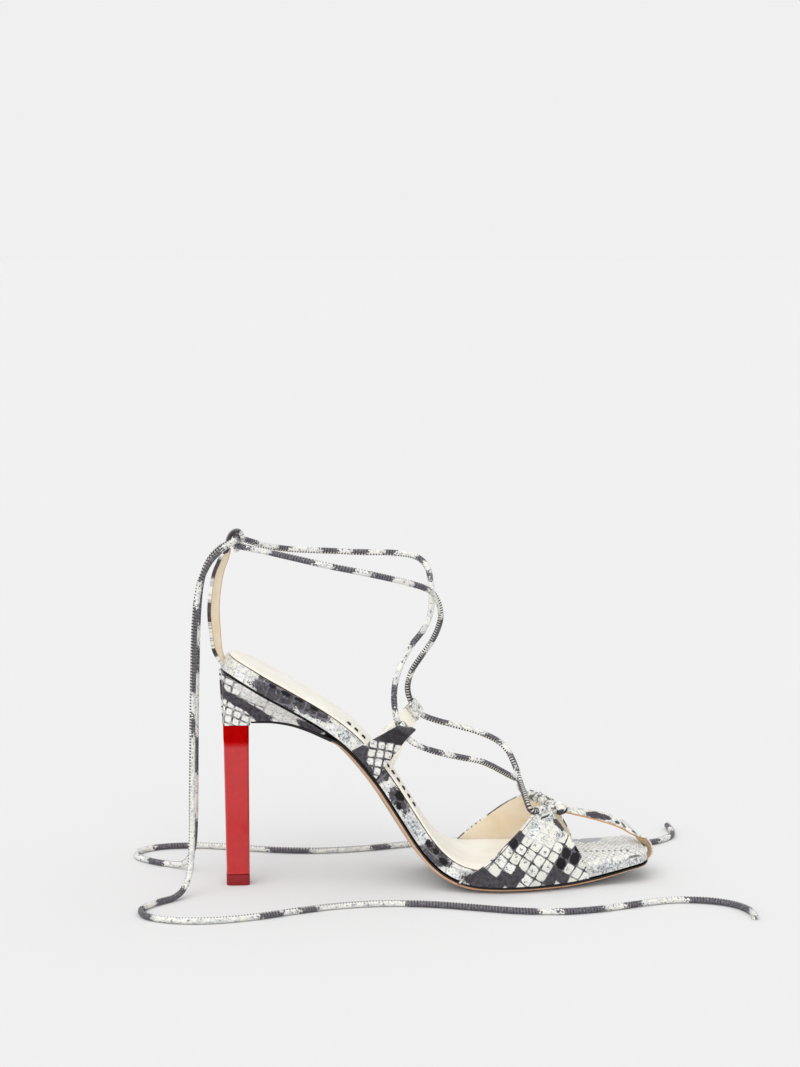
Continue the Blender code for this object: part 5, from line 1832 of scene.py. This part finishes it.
def make_upper_and_sole():
    """The finishes, and the pieces that wear them."""
    cream = smooth_leather("cream_leather", "#f0ede3", "#eae5d8")
    lining = smooth_leather("lining_leather", "#f6e8d3", "#ecdbbd")
    strap_lining = smooth_leather("strap_lining", "#ece0ca", "#e4d2b3", edged=True)
    cut_edge = smooth_leather("cut_edge", "#c79463", "#b07c4c", grain=0.08, roughness=0.6)
    sock_edge = smooth_leather("sock_edge", "#b89268", "#a87f54", grain=0.06, roughness=0.6)
    tan_leather = smooth_leather("tan_leather", "#c99f7c", "#bd8f6a", grain=0.06, roughness=0.45)
    tread = smooth_leather("tread_leather", "#b6b1ac", "#a8a39e", grain=0.1, roughness=0.6)
    black_edge = sole_edge("edge_paint")
    ragged = {"gap_tone": OUTLINE_GREY, "lines": (0.0, 0.5), "mottle": 0.9}
    rim = print_leather(
        "rim_print", RIM_SCALES, ink=RIM_INK, torn=RIM_CHARCOAL, bluish=RIM_BLUISH, veined=0.65, foot=0.7,
        **ragged,
    )
    cup = print_leather(
        "cup_print", CUP_SCALES, torn=mirrored(CUP_CHARCOAL), faded=mirrored(CUP_FADED), lines=(0.5, 1.0),
        mottle=0.2, tearing=0.3, flecked=0.3, whites=(WHITE_SCALE, BRIGHT_SCALE),
    )
    panel = print_leather(
        "panel_print", PANEL_SCALES, PANEL_CHARCOAL, PANEL_INK, PANEL_FADED, PANEL_TORN, PANEL_BLUISH,
        mottle=0.45, foot=0.5, flecked=0.85, seam=1.8,
    )
    gathered = print_leather("gathered_print_and_shade", GATHER_SCALES, blotched=0.9, crease_shade=True, **ragged)
    # The knot's print, with painted shade on its lower half and painted shadows under it
    knotted = print_leather(
        "knot_print_and_shade", GATHER_SCALES, ink=KNOT_SHADOWS, torn=KNOT_LOWER_SHADE, bluish=KNOT_BLUE_SHADE, lines=(0, 0),
        crease_shade=True,
    )
    strap = print_leather("strap_print", STRAP_SCALES, torn=STRAP_CHARCOAL, **ragged)
    tab = print_leather(
        "tab_print", TAB_SCALES, TAB_CHARCOAL, torn=TAB_TORN, deep=TAB_DEEP, lines=(0.8, 1.0), mottle=0.8,
        flecked=0.5, foot=0.4, relief=0.3,
    )
    far_tab = print_leather("far_tab_print", GATHER_SCALES, torn=FOLD_CHARCOAL, blotched=0.7, **ragged)
    heel = print_leather("heel_strap_print", STRAP_SCALES, torn=HEEL_CHARCOAL, **ragged)

    make_footbed(rim)
    make_socks(cream, sock_edge, toe_print_and_shade("toe_print_and_shade"))
    make_outsole(tan_leather, black_edge, tread)
    make_heel_cup(cup)
    make_heel_post()
    make_panel("panel_lateral", LATERAL_PANEL, "lateral", LATERAL_FOLDS, (panel, lining, panel))
    make_panel("panel_medial", MEDIAL_PANEL, "medial", MEDIAL_FOLDS, (panel, lining, panel))
    make_gather("lateral", LATERAL_ROLL, gathered)
    make_gather("medial", MEDIAL_ROLL, gathered)
    make_knot(knotted)
    make_toe_strap(strap, strap_lining, cut_edge)
    make_tab(LATERAL_TAB, (tab, cream, tab))
    make_tab(MEDIAL_TAB, (far_tab, cream, far_tab))
    make_heel_strap((heel, strap_lining, heel))
    make_stitches(thread("black_thread", "#232025"))


make_camera()
make_cords()
make_stage()
make_upper_and_sole()
